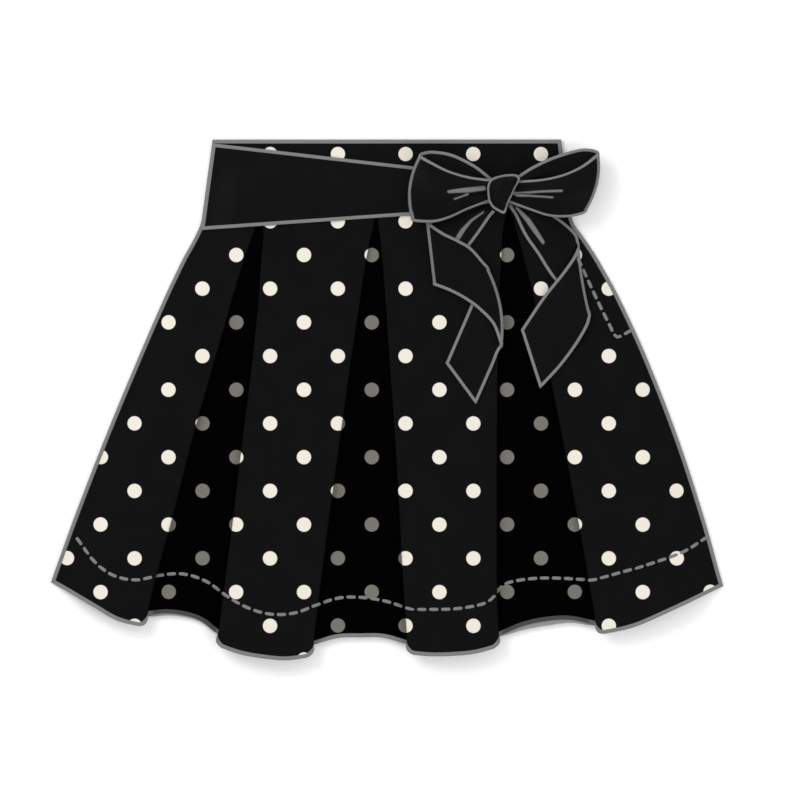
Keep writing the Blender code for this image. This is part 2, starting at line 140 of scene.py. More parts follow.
# How finely the skirt and its band are made
FRONT_ROWS = 112
BACK_ROWS = 60
PANEL_COLUMNS = 34
CROWDED = 0.85       # how much closer a panel's columns come at its ends, from 0 to 1
PLEAT_COLUMNS = 36
RETURN_COLUMNS = 5
FOLD_ANGLES = [90 - 22.5 * i for i in range(9)]
BAND_ROWS = 24
BAND_COLUMNS = 120
SHADED_BY = 60       # a fold is in full shade this many degrees past its side
SHARP = radians(50)  # edges sharper than this are shown as edges

# The tied sash, a row for each section along a ribbon: both edges, and how far the
# middle bows out and up. Heights of the loops are above the floor, others above
# the skirt.
Section = namedtuple("Section", "x1 drop1 z1 x2 drop2 z2 bow_x bow_z", defaults=(0, 0))
LYING = CLOTH + 2 * GAP
SASH_LEFT = rows_of(
    Section,
    (-173.5, 3.8, LYING, -184.6, 86.6, LYING),
    (-167.5, 4.5, LYING, -178.0, 86.2, LYING),
    (-160.5, 5.3, LYING, -170.5, 85.7, LYING),
    (-153.0, 6.1, LYING, -162.0, 85.2, LYING),
    (-145.0, 7.0, LYING, -153.0, 84.6, LYING),
    (-134.0, 8.3, LYING, -141.0, 83.7, LYING),
    (-105.0, 11.6, LYING, -107.0, 81.3, LYING, 0, 0.4),
    (-65.0, 16.3, LYING, -66.0, 78.5, LYING, 0, 0.8),
    (-20.0, 21.5, LYING, -21.0, 75.3, LYING, 0, 1.0),
    (25.0, 26.7, LYING, 24.0, 72.2, LYING, 0, 1.0),
    (62.0, 31.5, LYING, 62.0, 69.6, LYING, 0, 0.8),
    (98.5, 38.0, LYING, 98.5, 66.2, LYING, 0, 0.3),
)
SASH_RIGHT = rows_of(
    Section,
    (134.5, 38.5, 2.0, 125.6, 62.5, 2.0, 0, 0.3),
    (143.0, 34.0, 2.0, 137.5, 65.0, 2.0, 0, 0.3),
    (149.0, 30.8, 2.0, 147.0, 67.0, 2.0, 0, 0.2),
    (156.0, 27.0, 2.0, 155.5, 68.7, 2.0, 0, 0.1),
    (163.0, 23.2, LYING, 164.0, 70.0, 2.0),
    (169.0, 20.0, LYING, 173.0, 71.4, LYING),
    (174.0, 17.5, LYING, 180.4, 72.4, LYING),
)
LOOP_LEFT = rows_of(
    Section,
    (103.0, 38.0, 17.5, 102.0, 60.0, 16.2, -2.5, 0.8),
    (87.0, 25.5, 16.6, 84.0, 64.0, 15.6, 0, 1.0),
    (65.0, 14.5, 16.0, 65.0, 71.0, 15.4, 0, 0.5),
    (46.0, 11.2, 17.0, 45.0, 76.0, 16.0, -3.0, 0),
    (36.0, 12.5, 19.0, 27.8, 75.4, 17.6, -5.8, 0),
    (31.8, 15.0, 22.0, 24.2, 76.0, 20.2, -6.4, 0.5),
    (34.8, 17.4, 25.2, 27.0, 79.0, 22.6, -6.0, 4.0),
    (46.0, 23.6, 27.0, 46.0, 79.7, 24.0, -3.5, 7.5),
    (60.0, 30.6, 27.5, 61.5, 75.6, 24.5, 0, 8.5),
    (80.0, 36.6, 26.0, 79.0, 67.5, 23.5, 0, 6.5),
    (103.0, 39.8, 24.0, 102.0, 58.6, 22.4, -2.5, 3.2),
)
LOOP_RIGHT = rows_of(
    Section,
    (131.8, 35.2, 17.5, 121.6, 60.0, 16.2, 0, 0.8),
    (146.0, 26.2, 16.6, 140.0, 65.0, 15.6, 0, 1.0),
    (166.0, 16.9, 16.0, 158.0, 71.0, 15.4, 0, 0.5),
    (190.0, 9.6, 17.0, 180.0, 72.0, 16.0, 1.5, 0),
    (203.0, 9.2, 19.0, 193.0, 70.5, 17.6, 4.0, 0),
    (210.5, 12.2, 22.0, 198.6, 69.0, 20.2, 5.5, 0.5),
    (207.5, 16.0, 25.2, 193.5, 72.0, 22.6, 5.0, 4.0),
    (194.0, 26.2, 27.0, 180.0, 74.6, 24.0, 2.5, 7.5),
    (176.0, 34.4, 27.5, 161.5, 73.8, 24.5, 0, 8.5),
    (155.0, 39.2, 26.0, 142.0, 67.6, 23.5, 0, 6.5),
    (131.2, 41.0, 24.0, 121.9, 60.4, 22.4, 0, 3.2),
)
TAIL_LEFT = rows_of(
    Section,
    (98.6, 60.0, 4.4, 106.2, 69.6, 4.6, 0, 0.3),
    (89.0, 63.0, 4.0, 101.4, 75.0, 3.4, 0, 0.8),
    (72.0, 68.8, 3.8, 88.8, 93.0, 2.2, 0, 1.6),
    (53.0, 77.0, 2.4, 67.5, 121.0, LYING, 0, 2.0),
    (42.8, 81.2, LYING, 50.4, 141.4, LYING, 0, 1.0),
    (39.9, 81.5, 2.4, 47.4, 141.9, 2.4, 0, 0.6),
    (39.0, 81.7, 4.0, 46.2, 142.3, 4.0, 0, 0.4),
    (40.1, 82.4, 5.7, 47.4, 142.9, 5.7, 0, 0.6),
    (43.3, 84.6, 6.4, 50.8, 144.0, 6.4, 0, 1.2),
    (55.4, 92.7, 6.6, 63.4, 148.9, 6.4, 0, 2.6),
    (70.0, 99.8, 6.8, 77.5, 156.4, 6.4, 0, 3.2),
    (83.0, 107.8, 6.8, 91.4, 166.4, 6.2, 0, 3.0),
    (95.8, 122.2, 6.4, 106.0, 181.8, 6.0, 2.9, 1.8),
    (100.0, 126.4, 5.6, 113.0, 199.6, 5.4, 5.2, 1.0),
    (101.0, 128.2, 4.0, 114.4, 203.4, 4.0, 5.8, 0.6),
    (99.6, 130.4, 2.4, 112.6, 205.4, 2.4, 5.0, 0.6),
    (95.0, 138.6, LYING, 109.2, 210.6, LYING, 2.0, 0.8),
    (85.0, 163.0, LYING, 104.5, 222.5, LYING, 0, 1.6),
    (72.5, 192.2, LYING, 96.0, 241.8, LYING, 0, 1.8),
    (59.8, 221.6, LYING, 88.0, 260.0, LYING, 0, 0.8),
)
TAIL_RIGHT = rows_of(
    Section,
    (121.8, 63.6, 4.3, 125.4, 56.8, 4.3, 0, 0.1),
    (128.5, 73.5, 4.0, 140.0, 62.0, 4.4, 0, 0.3),
    (138.0, 93.0, 2.6, 160.0, 71.5, 4.2, 0, 1.2),
    (151.0, 112.0, 2.0, 177.0, 83.0, 2.6, 0, 1.8),
    (167.2, 136.5, LYING, 187.2, 93.0, 2.0, 0, 1.8),
    (192.5, 161.6, LYING, 190.0, 101.2, LYING, -0.8, 1.0),
    (200.0, 168.8, 2.4, 190.8, 103.6, 2.4, -1.2, 0.6),
    (201.8, 171.2, 4.0, 191.2, 106.0, 4.0, -1.4, 0.4),
    (201.2, 175.6, 5.7, 190.2, 109.0, 5.7, -1.2, 0.6),
    (198.4, 184.6, 6.2, 186.6, 116.5, 6.5, -0.6, 1.4),
    (187.9, 202.6, 4.6, 175.5, 132.5, 6.6, 0, 2.4),
    (172.0, 224.0, 2.4, 156.0, 157.2, 3.6, 0, 2.2),
    (153.0, 244.6, LYING, 135.0, 188.5, LYING, 0, 0.8),
)

# Creases pressed or pulled into the front, as soft troughs (rise below 0) and ridges
Crease = namedtuple("Crease", "x1 drop1 x2 drop2 width rise")
FRONT_CREASES = rows_of(
    Crease,
    (-160, 70, -178, 132, 7, -1.0),
    (-146, 72, -158, 118, 5, 0.8),
    (-205, 170, -262, 300, 16, -1.6),
    (-232, 250, -286, 398, 13, 1.3),
    (-104, 70, -112, 150, 8, -1.1),
    (-84, 70, -86, 128, 6, 0.9),
    (-58, 70, -60, 166, 9, -1.2),
    (-34, 70, -38, 122, 5, 0.7),
    (-98, 210, -118, 420, 18, -1.5),
    (-62, 280, -86, 470, 14, 1.2),
    (14, 70, 16, 138, 7, -1.0),
    (38, 70, 40, 116, 5, 0.7),
    (30, 240, 36, 440, 16, -1.4),
    (72, 300, 78, 490, 13, 1.2),
    (92, 150, 90, 282, 10, -1.0),
    (150, 92, 172, 178, 8, -1.1),
    (196, 140, 232, 236, 9, 0.9),
    (206, 250, 252, 410, 17, -1.6),
    (262, 300, 296, 420, 11, 1.1),
    (238, 196, 216, 150, 6, -0.8),
)
CREASE_REACH = 3     # a crease ends this many widths from its line
CREASE_IN = 6        # how steeply it begins at its first end
CREASE_OUT = 1.6     # and dies away at the other
CREASE_CALM = 30     # creases fade toward the side seams over this distance

# Topstitching, as x and drop: the hem's turning and the side opening
Spot = namedtuple("Spot", "x drop")
HEM_STITCH = rows_of(
    Spot,
    (-308.5, 399.7), (-293.7, 418.9), (-274.7, 433.2), (-251.5, 438.3),
    (-228, 433.8), (-204.1, 432.5), (-181.2, 439.9), (-161.4, 453.7),
    (-140.7, 465.5), (-117.5, 472.2), (-93.4, 471.4), (-71.2, 463.4),
    (-48.1, 456.4), (-24.2, 456.0), (-0.5, 460.0), (22.4, 466.9),
    (46.6, 467.6), (70.6, 466.7), (94.3, 462.4), (104.7, 456.8),
    (112.1, 446.8), (122.3, 440.7), (145.8, 437.0), (169.8, 436.6),
    (193.9, 437.9), (206, 438.1), (229.3, 431.7), (252.4, 425.2),
    (275.5, 417.7), (297.6, 409.3), (317.1, 397.3),
)
SIDE_STITCH = rows_of(
    Spot,
    (192.0, 120.7), (196.8, 131.0), (211.9, 163.3), (222.7, 184.9),
    (226.0, 192.0), (229.8, 195.6), (234.2, 194.2), (240.5, 190.6),
)
HEM_STITCHES = 57
SIDE_STITCHES = 9
LINE_STEPS = 40      # places between two spots of a line of stitches
STITCH_REACH = 5     # and how many of them its heading is taken over, either way
STITCH_LONG = 9.4
STITCH_PITCH = 12.0
STITCH_WIDE = 3.3
STITCH_HIGH = 1.1
STITCH_SUNK = 0.12
MIDDLE_RING = 0.01   # the ball's points this near its middle stay there
STITCH_IN = 0.35     # how far a stitch under the back lies within the cloth's face
STITCH_LOW = 0.52    # and its lowest middle, since the back rests on the floor
NEEDLE_ABOVE = 60    # the heights from which a stitch's place on the cloth is looked for
NEEDLE_BELOW = -10

# The hem's turning, pulled in by its stitches
TURNED = 0.35        # how far the doubled cloth stands up
TURNED_FROM = -1     # from here on, measured down from the stitches
TURNED_OVER = 4      # and rising over this distance
TURNING_CALM = 12    # all of it fades toward the side seams over this distance
PULL_FRONT = 0.5     # how far the stitches pull the front down
PULL_BACK = 0.45     # and the back up
PULL_WIDE = 1.8
PUCKER = 0.16        # small waves from stitch to stitch
PUCKER_WIDE = 9

# The knot, seen from above
KNOT = rows_of(
    Spot,
    (104.2, 39.3), (108.1, 37.3), (114.2, 35.7), (120.8, 34.7),
    (127.8, 35.0), (130.6, 37.2), (129.6, 40.4), (125.8, 47.6),
    (122.0, 56.1), (118.5, 63.8), (116.2, 71.0), (111.0, 69.0),
    (105.8, 65.6), (102.6, 60.5), (101.2, 53.0), (101.3, 44.8),
)
KNOT_LOW = 12.2
KNOT_HIGH = 36.4
KNOT_SIDES = 0.55    # 1 for round sides and less for steeper ones
KNOT_TOP = 0.85      # 1 for a round top and less for a flatter one
KNOT_STEPS = 6       # places on its outline between two spots

# Folds of the cloth wrapped round the knot: how far they lie from its middle, how
# much they slant, how wide and how deep they are
Wrap = namedtuple("Wrap", "start slope wide deep")
KNOT_WRAPS = rows_of(
    Wrap,
    (-5.0, 0.22, 2.6, -0.7),
    (4.5, -0.12, 2.6, -0.8),
)
WRAP_RISE = 8.0      # they deepen over this height, about the knot's middle

# Print: cream dots on a half-drop repeat, measured from the same axes as x and drop
DOT = 14.2
REPEAT_X = 67.68
REPEAT_Y = 67.36
DOT_X = -49.6
DOT_DROP = 12.5
DOT_SOFT = 0.35      # half the width of a dot's soft edge
WEAVE = 1.1          # from thread to thread

# Colours, each from its darkest to its lightest
BLACK_COTTON = ((0.0040, 0.0040, 0.0041, 1), (0.0066, 0.0066, 0.0067, 1))
CREAM_PRINT = ((0.68, 0.64, 0.565, 1), (0.80, 0.75, 0.665, 1))
BLACK_SATEEN = ((0.0028, 0.0028, 0.0029, 1), (0.0044, 0.0044, 0.0045, 1))
# painted highlight, the grey on the ribbons' folds and crests
SATEEN_HIGHLIGHT = (0.16, 0.16, 0.162, 1)
FLOOR_WHITE = (0.97, 0.97, 0.97, 1)
PLEAT_SHADE = 0.225  # what is left of the light inside a pleat
EDGE_GREY = 0.175
STITCH_GREY = 0.178
FIBRE_TONES = (0.86, 1.14)   # the darkest and the lightest fibre of a grey thread
TWIST_SLANT = 0.8

# Grey bound edges: width, thickness, and how far they stand off the cloth's middle
Binding = namedtuple("Binding", "wide thick lift")
FRONT_EDGE = Binding(4.1, 1.8, 0.15)
BACK_EDGE = Binding(4.1, 1.3, 0.05)
SIDE_EDGE = Binding(4.1, 3.4, 0.0)
SASH_EDGE = Binding(3.7, 1.8, 0.0)
BOW_EDGE = Binding(3.2, 1.8, 0.0)
KNOT_EDGE = Binding(3.0, 2.4, 0.0)
KNOT_EDGE_AT = 28.6
EDGE_SIDES = 12      # faces round a binding
SIDE_MIDDLE = 1.75   # height of the side seams' binding
PLEAT_DARK = 0.30    # the front's edge in the shade of the first and last pleat
PLEAT_PALE = 1.45    # and the back's edge below it, which catches the light
PLEAT_WIDE = 1.4
PLEAT_EDGE = 2.0     # the change begins so far inside the pleat
PLEAT_FADE = 5.0     # and is complete after so much more
CORNER_OVER = 1.9    # a binding runs on so far, to close the corner with the next
SQUARENESS = 0.6     # 1 for a round binding and less for a squarer one
SAME_PLACE = 0.05    # places closer than this are taken as one
MITRE_LEAST = 0.6    # keeps a binding from growing too wide at a sharp turn
LYING_BELOW = 0.7    # where the back's cloth is lower than this it lies flat

# Gathers of a ribbon at the knot: where across it, how wide, how deep, how far along
Gather = namedtuple("Gather", "across wide deep reach")
LOOP_GATHERS = rows_of(
    Gather,
    (0.24, 0.07, -1.2, 0.30), (0.36, 0.05, 0.9, 0.22), (0.50, 0.07, -1.7, 0.38),
    (0.62, 0.05, 0.8, 0.20), (0.72, 0.06, -1.1, 0.30), (0.86, 0.06, -0.7, 0.18),
)
TAIL_GATHERS = rows_of(
    Gather,
    (0.22, 0.08, -0.7, 0.16), (0.42, 0.07, 0.6, 0.13), (0.56, 0.08, -1.1, 0.20),
    (0.78, 0.07, -0.7, 0.14),
)
SASH_GATHERS = rows_of(
    Gather,
    (0.18, 0.06, 0.5, 0.30), (0.34, 0.05, 0.7, 0.42), (0.52, 0.06, 0.6, 0.36),
    (0.68, 0.05, 0.8, 0.50), (0.84, 0.06, 0.5, 0.28),
)

# Crests of gathers that catch the light: from one place to another, and how wide
Stroke = namedtuple("Stroke", "x1 drop1 x2 drop2 wide1 wide2")
LOOP_LEFT_CRESTS = rows_of(
    Stroke,
    (61.4, 51.0, 81.0, 49.0, 2.4, 4.8), (81.0, 49.0, 96.0, 47.2, 4.8, 4.4),
    (66.8, 57.9, 79.8, 53.0, 1.3, 1.5),
)
LOOP_RIGHT_CRESTS = rows_of(
    Stroke,
    (126.0, 52.2, 150.0, 50.7, 2.6, 1.4), (150.0, 50.7, 174.0, 50.0, 1.4, 1.7),
    (129.0, 54.2, 165.0, 56.6, 1.2, 1.3),
)
TAIL_LEFT_CRESTS = rows_of(
    Stroke,
    (95.8, 70.7, 83.6, 79.1, 1.6, 2.2), (83.6, 79.1, 75.0, 89.0, 2.2, 3.8),
    (75.0, 89.0, 69.8, 97.5, 3.8, 4.0),
)
TAIL_RIGHT_CRESTS = rows_of(
    Stroke,
    (123.6, 61.6, 123.2, 67.0, 1.2, 4.4),
    (129.0, 66.2, 140.5, 79.0, 1.8, 4.4), (140.5, 79.0, 147.5, 89.2, 4.4, 4.2),
    (147.5, 89.2, 155.6, 101.0, 4.2, 2.8),
)
CREST_HIGH = 0.7
CREST_FADE = 1.0     # over this width a crest fades out
FOLD_PALE = 2.1      # a turned fold has a painted highlight so far from its edge
FOLD_FADE = 0.6      # and fades out over so much more
FAR = 1.0            # stands for the distance in metres where there is no fold


def mix(a, b, u):
    return a + (b - a) * u


def clamp(u):
    return max(0.0, min(1.0, u))


def ease(u):
    u = clamp(u)
    return u * u * (3 - 2 * u)


def swell(off, wide):
    """1 on a line, dying away softly to both sides of it."""
    return exp(-(off / wide) ** 2)


def through(xs, ys, x):
    """The smooth curve through a table's points, read at x."""
    last = len(xs) - 1
    i = max(0, min(last - 1, next((k for k in range(last) if x <= xs[k + 1]), last - 1)))

    def slope(k):
        a, b = max(0, k - 1), min(last, k + 1)
        return (ys[b] - ys[a]) / (xs[b] - xs[a])

    h = xs[i + 1] - xs[i]
    u = (x - xs[i]) / h
    return (
        ys[i] * (1 + 2 * u) * (1 - u) ** 2 + slope(i) * h * u * (1 - u) ** 2
        + ys[i + 1] * u * u * (3 - 2 * u) - slope(i + 1) * h * u * u * (1 - u)
    )


def read(values, at):
    """A value from a list made at every whole millimetre."""
    at = max(0.0, min(len(values) - 1.001, at))
    i = int(at)
    return mix(values[i], values[i + 1], at - i)


# The side and fold lines at each whole millimetre of drop, and the hem's row of
# stitches at each of x
DROPS = [row.drop for row in LINES]
LINE_AT = {
    name: [
        through(DROPS, [getattr(row, name) for row in LINES], max(BAND, drop))
        for drop in range(DEEPEST)
    ]
    for name in Line._fields[1:]
}
STITCH_FROM = int(HEM_STITCH[0].x)
STITCH_AT = [
    through([s.x for s in HEM_STITCH], [s.drop for s in HEM_STITCH], x)
    for x in range(STITCH_FROM, int(HEM_STITCH[-1].x) + 1)
]


def line(name, drop):
    """How far across the skirt a side seam or a fold is."""
    if drop < BAND:
        top = WAIST_LEFT if name == "side_l" else WAIST_RIGHT
        return mix(top, getattr(LINES[0], name), drop / BAND)
    return read(LINE_AT[name], drop)


def along(spots, at):
    """The smooth line through spots, read at a spot's number or between two."""
    numbers = range(len(spots))
    return through(numbers, [s.x for s in spots], at), through(numbers, [s.drop for s in spots], at)


def hem(row, share):
    """The drop of a hem, a share of the way across its panel or pleat."""
    return through((0, 1 / 4, 1 / 2, 3 / 4, 1), row, clamp(share))


def down(drop):
    """The share of the way from the seam to the hem."""
    return clamp((drop - BAND) / (LENGTH - BAND))


def from_seam(x, drop):
    """The distance in from the nearer side seam."""
    return min(x - line("side_l", drop), line("side_r", drop) - x)


def front_height(x, drop):
    """Height of the front of the skirt, over panels and closed pleats alike."""
    u = down(drop)
    folds = mix(FRONT_SEAM, FRONT_HEM, u)
    dome = 0.0
    for left, right in PANEL_LINES:
        a, b = line(left, max(drop, BAND)), line(right, max(drop, BAND))
        if a < x < b:
            dome = DOME_HEM * u * sin(pi * (x - a) / (b - a))
    rise = ease(from_seam(x, drop) / mix(FALL_SEAM, FALL_HEM, u))
    return mix(FRONT_SIDE, mix(FRONT_SIDE, folds + dome, rise), ease(drop / BAND))


def crease(c, x, drop):
    """What one crease adds to the height at a place."""
    along_x, along_drop = c.x2 - c.x1, c.drop2 - c.drop1
    long = hypot(along_x, along_drop)
    s = ((x - c.x1) * along_x + (drop - c.drop1) * along_drop) / long ** 2
    if s <= 0 or s >= 1:
        return 0.0
    off = abs((x - c.x1) * along_drop - (drop - c.drop1) * along_x) / long
    if off > CREASE_REACH * c.width:
        return 0.0
    return c.rise * swell(off, c.width) * ease(CREASE_IN * s) * ease(CREASE_OUT * (1 - s))


def past_stitches(x, drop):
    """How far below the hem's row of stitches a place is."""
    return drop - read(STITCH_AT, x - STITCH_FROM)


def turning(x, drop):
    """The hem's turning: a doubled cloth under a row of stitches that pulls it in."""
    off = past_stitches(x, drop)
    pull = -PULL_FRONT * swell(off, PULL_WIDE)
    pucker = PUCKER * sin(2 * pi * x / STITCH_PITCH) * swell(off, PUCKER_WIDE)
    return TURNED * ease((off - TURNED_FROM) / TURNED_OVER) + pull + pucker


def front_detail(x, drop):
    edge = from_seam(x, drop)
    pressed = ease(edge / TURNING_CALM) * turning(x, drop)
    return pressed + ease(edge / CREASE_CALM) * sum(crease(c, x, drop) for c in FRONT_CREASES)


def back_detail(x, drop):
    """Only the pull of the stitches: the back lies flat on the floor."""
    return PULL_BACK * swell(past_stitches(x, drop), PULL_WIDE)


# How the layers of one side of the skirt lie
Side = namedtuple("Side", "outer inner radius up pleat_hem flare detail")
FRONT = Side(
    front_height, FRONT_INNER, lambda u: mix(FOLD, FOLD_HEM, u * u), 1, PLEAT_HEM, FLARE,
    front_detail,
)
BACK = Side(
    lambda x, drop: BACK_OUTER, BACK_INNER, lambda u: FOLD, -1, BACK_PLEAT_HEM, 0.0, back_detail,
)


def hidden(drop):
    """How much cloth lies turned under a fold."""
    return mix(HIDDEN_SEAM, HIDDEN_HEM, down(drop))


def corner(away):
    """What a panel's rounded corner takes off its hem, so far in from the fold."""
    if away >= CORNER_WIDE:
        return 0.0
    return CORNER_HIGH * (1 - sqrt(1 - (1 - max(0.0, away) / CORNER_WIDE) ** 2))


def flare(side, fold_hem, drop):
    """How far a fold stands out beyond its line, near the hem."""
    return side.flare * ease((drop - fold_hem) / FLARE_HIGH + FLARE_FROM)


# Each column of a skirt side gives, for a share t of the way from seam to hem, a
# place x, drop, z and how deep inside a pleat it is, from 0 to 1, which sets the painted shade there.

def panel_column(side, k, share):
    """Down a panel, a share of the way across it."""
    left, right = PANEL_LINES[k]
    row = PANEL_HEM[k]
    wide = line(right, row.right) - line(left, row.left)
    column_hem = hem(row, share)
    if k > 0:
        column_hem -= corner(share * wide + side.radius(1))
    if k < LAST_PANEL:
        column_hem -= corner((1 - share) * wide + side.radius(1))

    def at(t):
        drop = mix(BAND, column_hem, t)
        round_edge = side.radius(down(drop)) + HALF
        a = line(left, drop) + (round_edge - flare(side, row.left, drop) if k > 0 else 0)
        b = line(right, drop) - (round_edge - flare(side, row.right, drop) if k < LAST_PANEL else 0)
        x = mix(a, b, share)
        return x, drop, side.outer(x, drop) + side.detail(x, drop), 0.0

    return at


def fold_column(side, k, hand, angle):
    """Down the round fold at a panel's edge, at an angle round it."""
    fold = PLEAT_LINES[k][0 if hand > 0 else 1]
    panel_hem = PANEL_HEM[k].right if hand > 0 else PANEL_HEM[k + 1].left
    a = radians(angle)
    away = 0.0
    if side.flare and angle > 0:    # the tight folds of the back stay level across
        away = side.radius(1) * (1 - cos(a))
    column_hem = panel_hem - corner(away)

    def at(t):
        drop = mix(BAND, column_hem, t)
        r = side.radius(down(drop))
        middle = line(fold, drop) - hand * (r + HALF - flare(side, panel_hem, drop))
        top = side.outer(middle, drop) + side.detail(middle, drop) * ease((angle + 90) / 180)
        x = middle + hand * r * cos(a)
        return x, drop, top + side.up * (r * sin(a) - r), ease(-angle / SHADED_BY)

    return at


def return_column(side, k, hand, angle):
    """Down the turn where the hidden cloth comes back as the pleat's floor."""
    fold = PLEAT_LINES[k][0 if hand > 0 else 1]
    pleat_hem = side.pleat_hem[k].left if hand > 0 else side.pleat_hem[k].right
    a = radians(angle)

    def at(t):
        drop = mix(BAND, pleat_hem, t)
        x = line(fold, drop) - hand * (hidden(drop) + FOLD * cos(a))
        return x, drop, side.inner + side.up * (FOLD + FOLD * sin(a)), 1.0

    return at


def between(column_a, column_b, share):
    """A column part of the way from one to the next."""
    return lambda t: tuple(mix(a, b, share) for a, b in zip(column_a(t), column_b(t)))


def pleat_column(side, k, share):
    """Down a pleat's floor, a share of the way across it."""
    left, right = PLEAT_LINES[k]
    low = side.pleat_hem[k].half
    a, b = line(left, low), line(right, low)
    x = mix(a - hidden(low), b + hidden(low), share)
    column_hem = hem(side.pleat_hem[k], (x - a) / (b - a))

    def at(t):
        drop = mix(BAND, column_hem, t)
        floor_l = line(left, drop) - hidden(drop)
        floor_r = line(right, drop) + hidden(drop)
        return mix(floor_l, floor_r, share), drop, side.inner, 1.0

    return at


def evenly(count):
    """The shares that cut a stretch into equal parts, without its ends."""
    return [i / count for i in range(1, count)]


def closer_at_ends(count):
    return [mix(i / count, 0.5 - 0.5 * cos(pi * i / count), CROWDED) for i in range(1, count)]


def pleat_half(side, k, hand):
    """From a panel's edge round its fold, back under it and round onto the pleat's floor."""
    columns = [fold_column(side, k, hand, a) for a in FOLD_ANGLES]
    under = return_column(side, k, hand, 90)
    columns += [between(columns[-1], under, share) for share in evenly(RETURN_COLUMNS)]
    return columns + [return_column(side, k, hand, a) for a in FOLD_ANGLES]


def skirt_columns(side):
    columns = [panel_column(side, 0, 0.0)]
    for k in range(len(PANEL_LINES)):
        columns += [panel_column(side, k, share) for share in closer_at_ends(PANEL_COLUMNS)]
        if k < len(PLEAT_LINES):
            columns += pleat_half(side, k, 1)
            columns += [pleat_column(side, k, share) for share in evenly(PLEAT_COLUMNS)]
            columns += reversed(pleat_half(side, k, -1))
    return columns + [panel_column(side, LAST_PANEL, 1.0)]


def world(x, drop, z):
    """A place in metres, about the middle of the skirt's length."""
    return Vector((x, LENGTH / 2 - drop, z)) * MM


def grid_normals(grid):
    normals = []
    last_row, last_column = len(grid) - 1, len(grid[0]) - 1
    for i, row in enumerate(grid):
        above, below = grid[max(i - 1, 0)], grid[min(i + 1, last_row)]
        normals.append([
            (below[j] - above[j]).cross(row[min(j + 1, last_column)] - row[max(j - 1, 0)]).normalized()
            for j in range(last_column + 1)
        ])
    return normals


def finish_mesh(mesh, material):
    """Faces outwards, smooth but for its edges, and in its material."""
    bm = bmesh.new()
    bm.from_mesh(mesh)
    bmesh.ops.recalc_face_normals(bm, faces=bm.faces)
    bm.to_mesh(mesh)
    bm.free()
    mesh.materials.append(material)
    mesh.shade_smooth()
    mesh.set_sharp_from_angle(angle=SHARP)


def sewn_piece(name, points, faces, uvs, material, label=None, values=()):
    """A piece from its points and faces, with its print's UV map and, if given, one
    named value at each point."""
    mesh = bpy.data.meshes.new(name)
    mesh.from_pydata(points, [], faces)
    layer = mesh.uv_layers.new(name="print")
    for loop in mesh.loops:
        layer.data[loop.index].uv = uvs[loop.vertex_index]
    if label:
        mesh.attributes.new(label, "FLOAT", "POINT").data.foreach_set("value", values)
    finish_mesh(mesh, material)
    piece = bpy.data.objects.new(name, mesh)
    bpy.context.collection.objects.link(piece)
    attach(piece, "root")
    return piece


def cloth(name, grid, uvs, material, label=None, values=(), thick=CLOTH):
    """A thin closed wall about a grid of points in metres."""
    rows, columns = len(grid), len(grid[0])
    normals = grid_normals(grid)
    count = rows * columns
    points = []
    for sign in (1, -1):
        for row, normal_row in zip(grid, normals):
            points += [p + n * (sign * thick * MM / 2) for p, n in zip(row, normal_row)]
    faces = []
    for i in range(rows - 1):
        for j in range(columns - 1):
            a, b = i * columns + j, i * columns + j + 1
            c, d = b + columns, a + columns
            faces += [(d, c, b, a), (count + a, count + b, count + c, count + d)]
    rim = list(range(columns)) + [i * columns + columns - 1 for i in range(1, rows)]
    rim += [(rows - 1) * columns + j for j in range(columns - 2, -1, -1)]
    rim += [i * columns for i in range(rows - 2, 0, -1)]
    faces += [(a, b, count + b, count + a) for a, b in zip(rim, rim[1:] + rim[:1])]
    both_uvs = [uv for row in uvs for uv in row] * 2
    both_values = [value for row in values for value in row] * 2
    return sewn_piece(name, points, faces, both_uvs, material, label, both_values)


def skirt_side(name, side, rows, material):
    """The cloth of one side of the skirt, and its grid."""
    columns = skirt_columns(side)
    grid, uvs, inside = [], [], []
    for i in range(rows + 1):
        places = [column(i / rows) for column in columns]
        grid.append([world(x, drop, z) for x, drop, z, deep in places])
        uvs.append([(x * MM, -drop * MM) for x, drop, z, deep in places])
        inside.append([deep for x, drop, z, deep in places])
    return cloth(name, grid, uvs, material, "inside", inside), grid


def waistband(name, side, material):
    """The cloth of one side of the band, and its grid."""
    grid, uvs = [], []
    for i in range(BAND_ROWS + 1):
        drop = i / BAND_ROWS * (BAND - GAP)
        left, right = line("side_l", drop), line("side_r", drop)
        xs = [mix(left, right, j / BAND_COLUMNS) for j in range(BAND_COLUMNS + 1)]
        grid.append([world(x, drop, side.outer(x, drop)) for x in xs])
        uvs.append([(x * MM, -drop * MM) for x in xs])
    return cloth(name, grid, uvs, material), grid


# The ribbons of the sash and the bow

def gathered(gathers, ends):
    """Creases that run out from one or both ends of a ribbon and die away."""

    def at(s, v):
        total = 0.0
        for end in ends:
            away = s if end == 0 else 1 - s
            for g in gathers:
                if away < g.reach:
                    total += g.deep * ease(1 - away / g.reach) * swell(v - g.across, g.wide)
        return total

    return at


def on_floor(x, drop):
    return 0.0


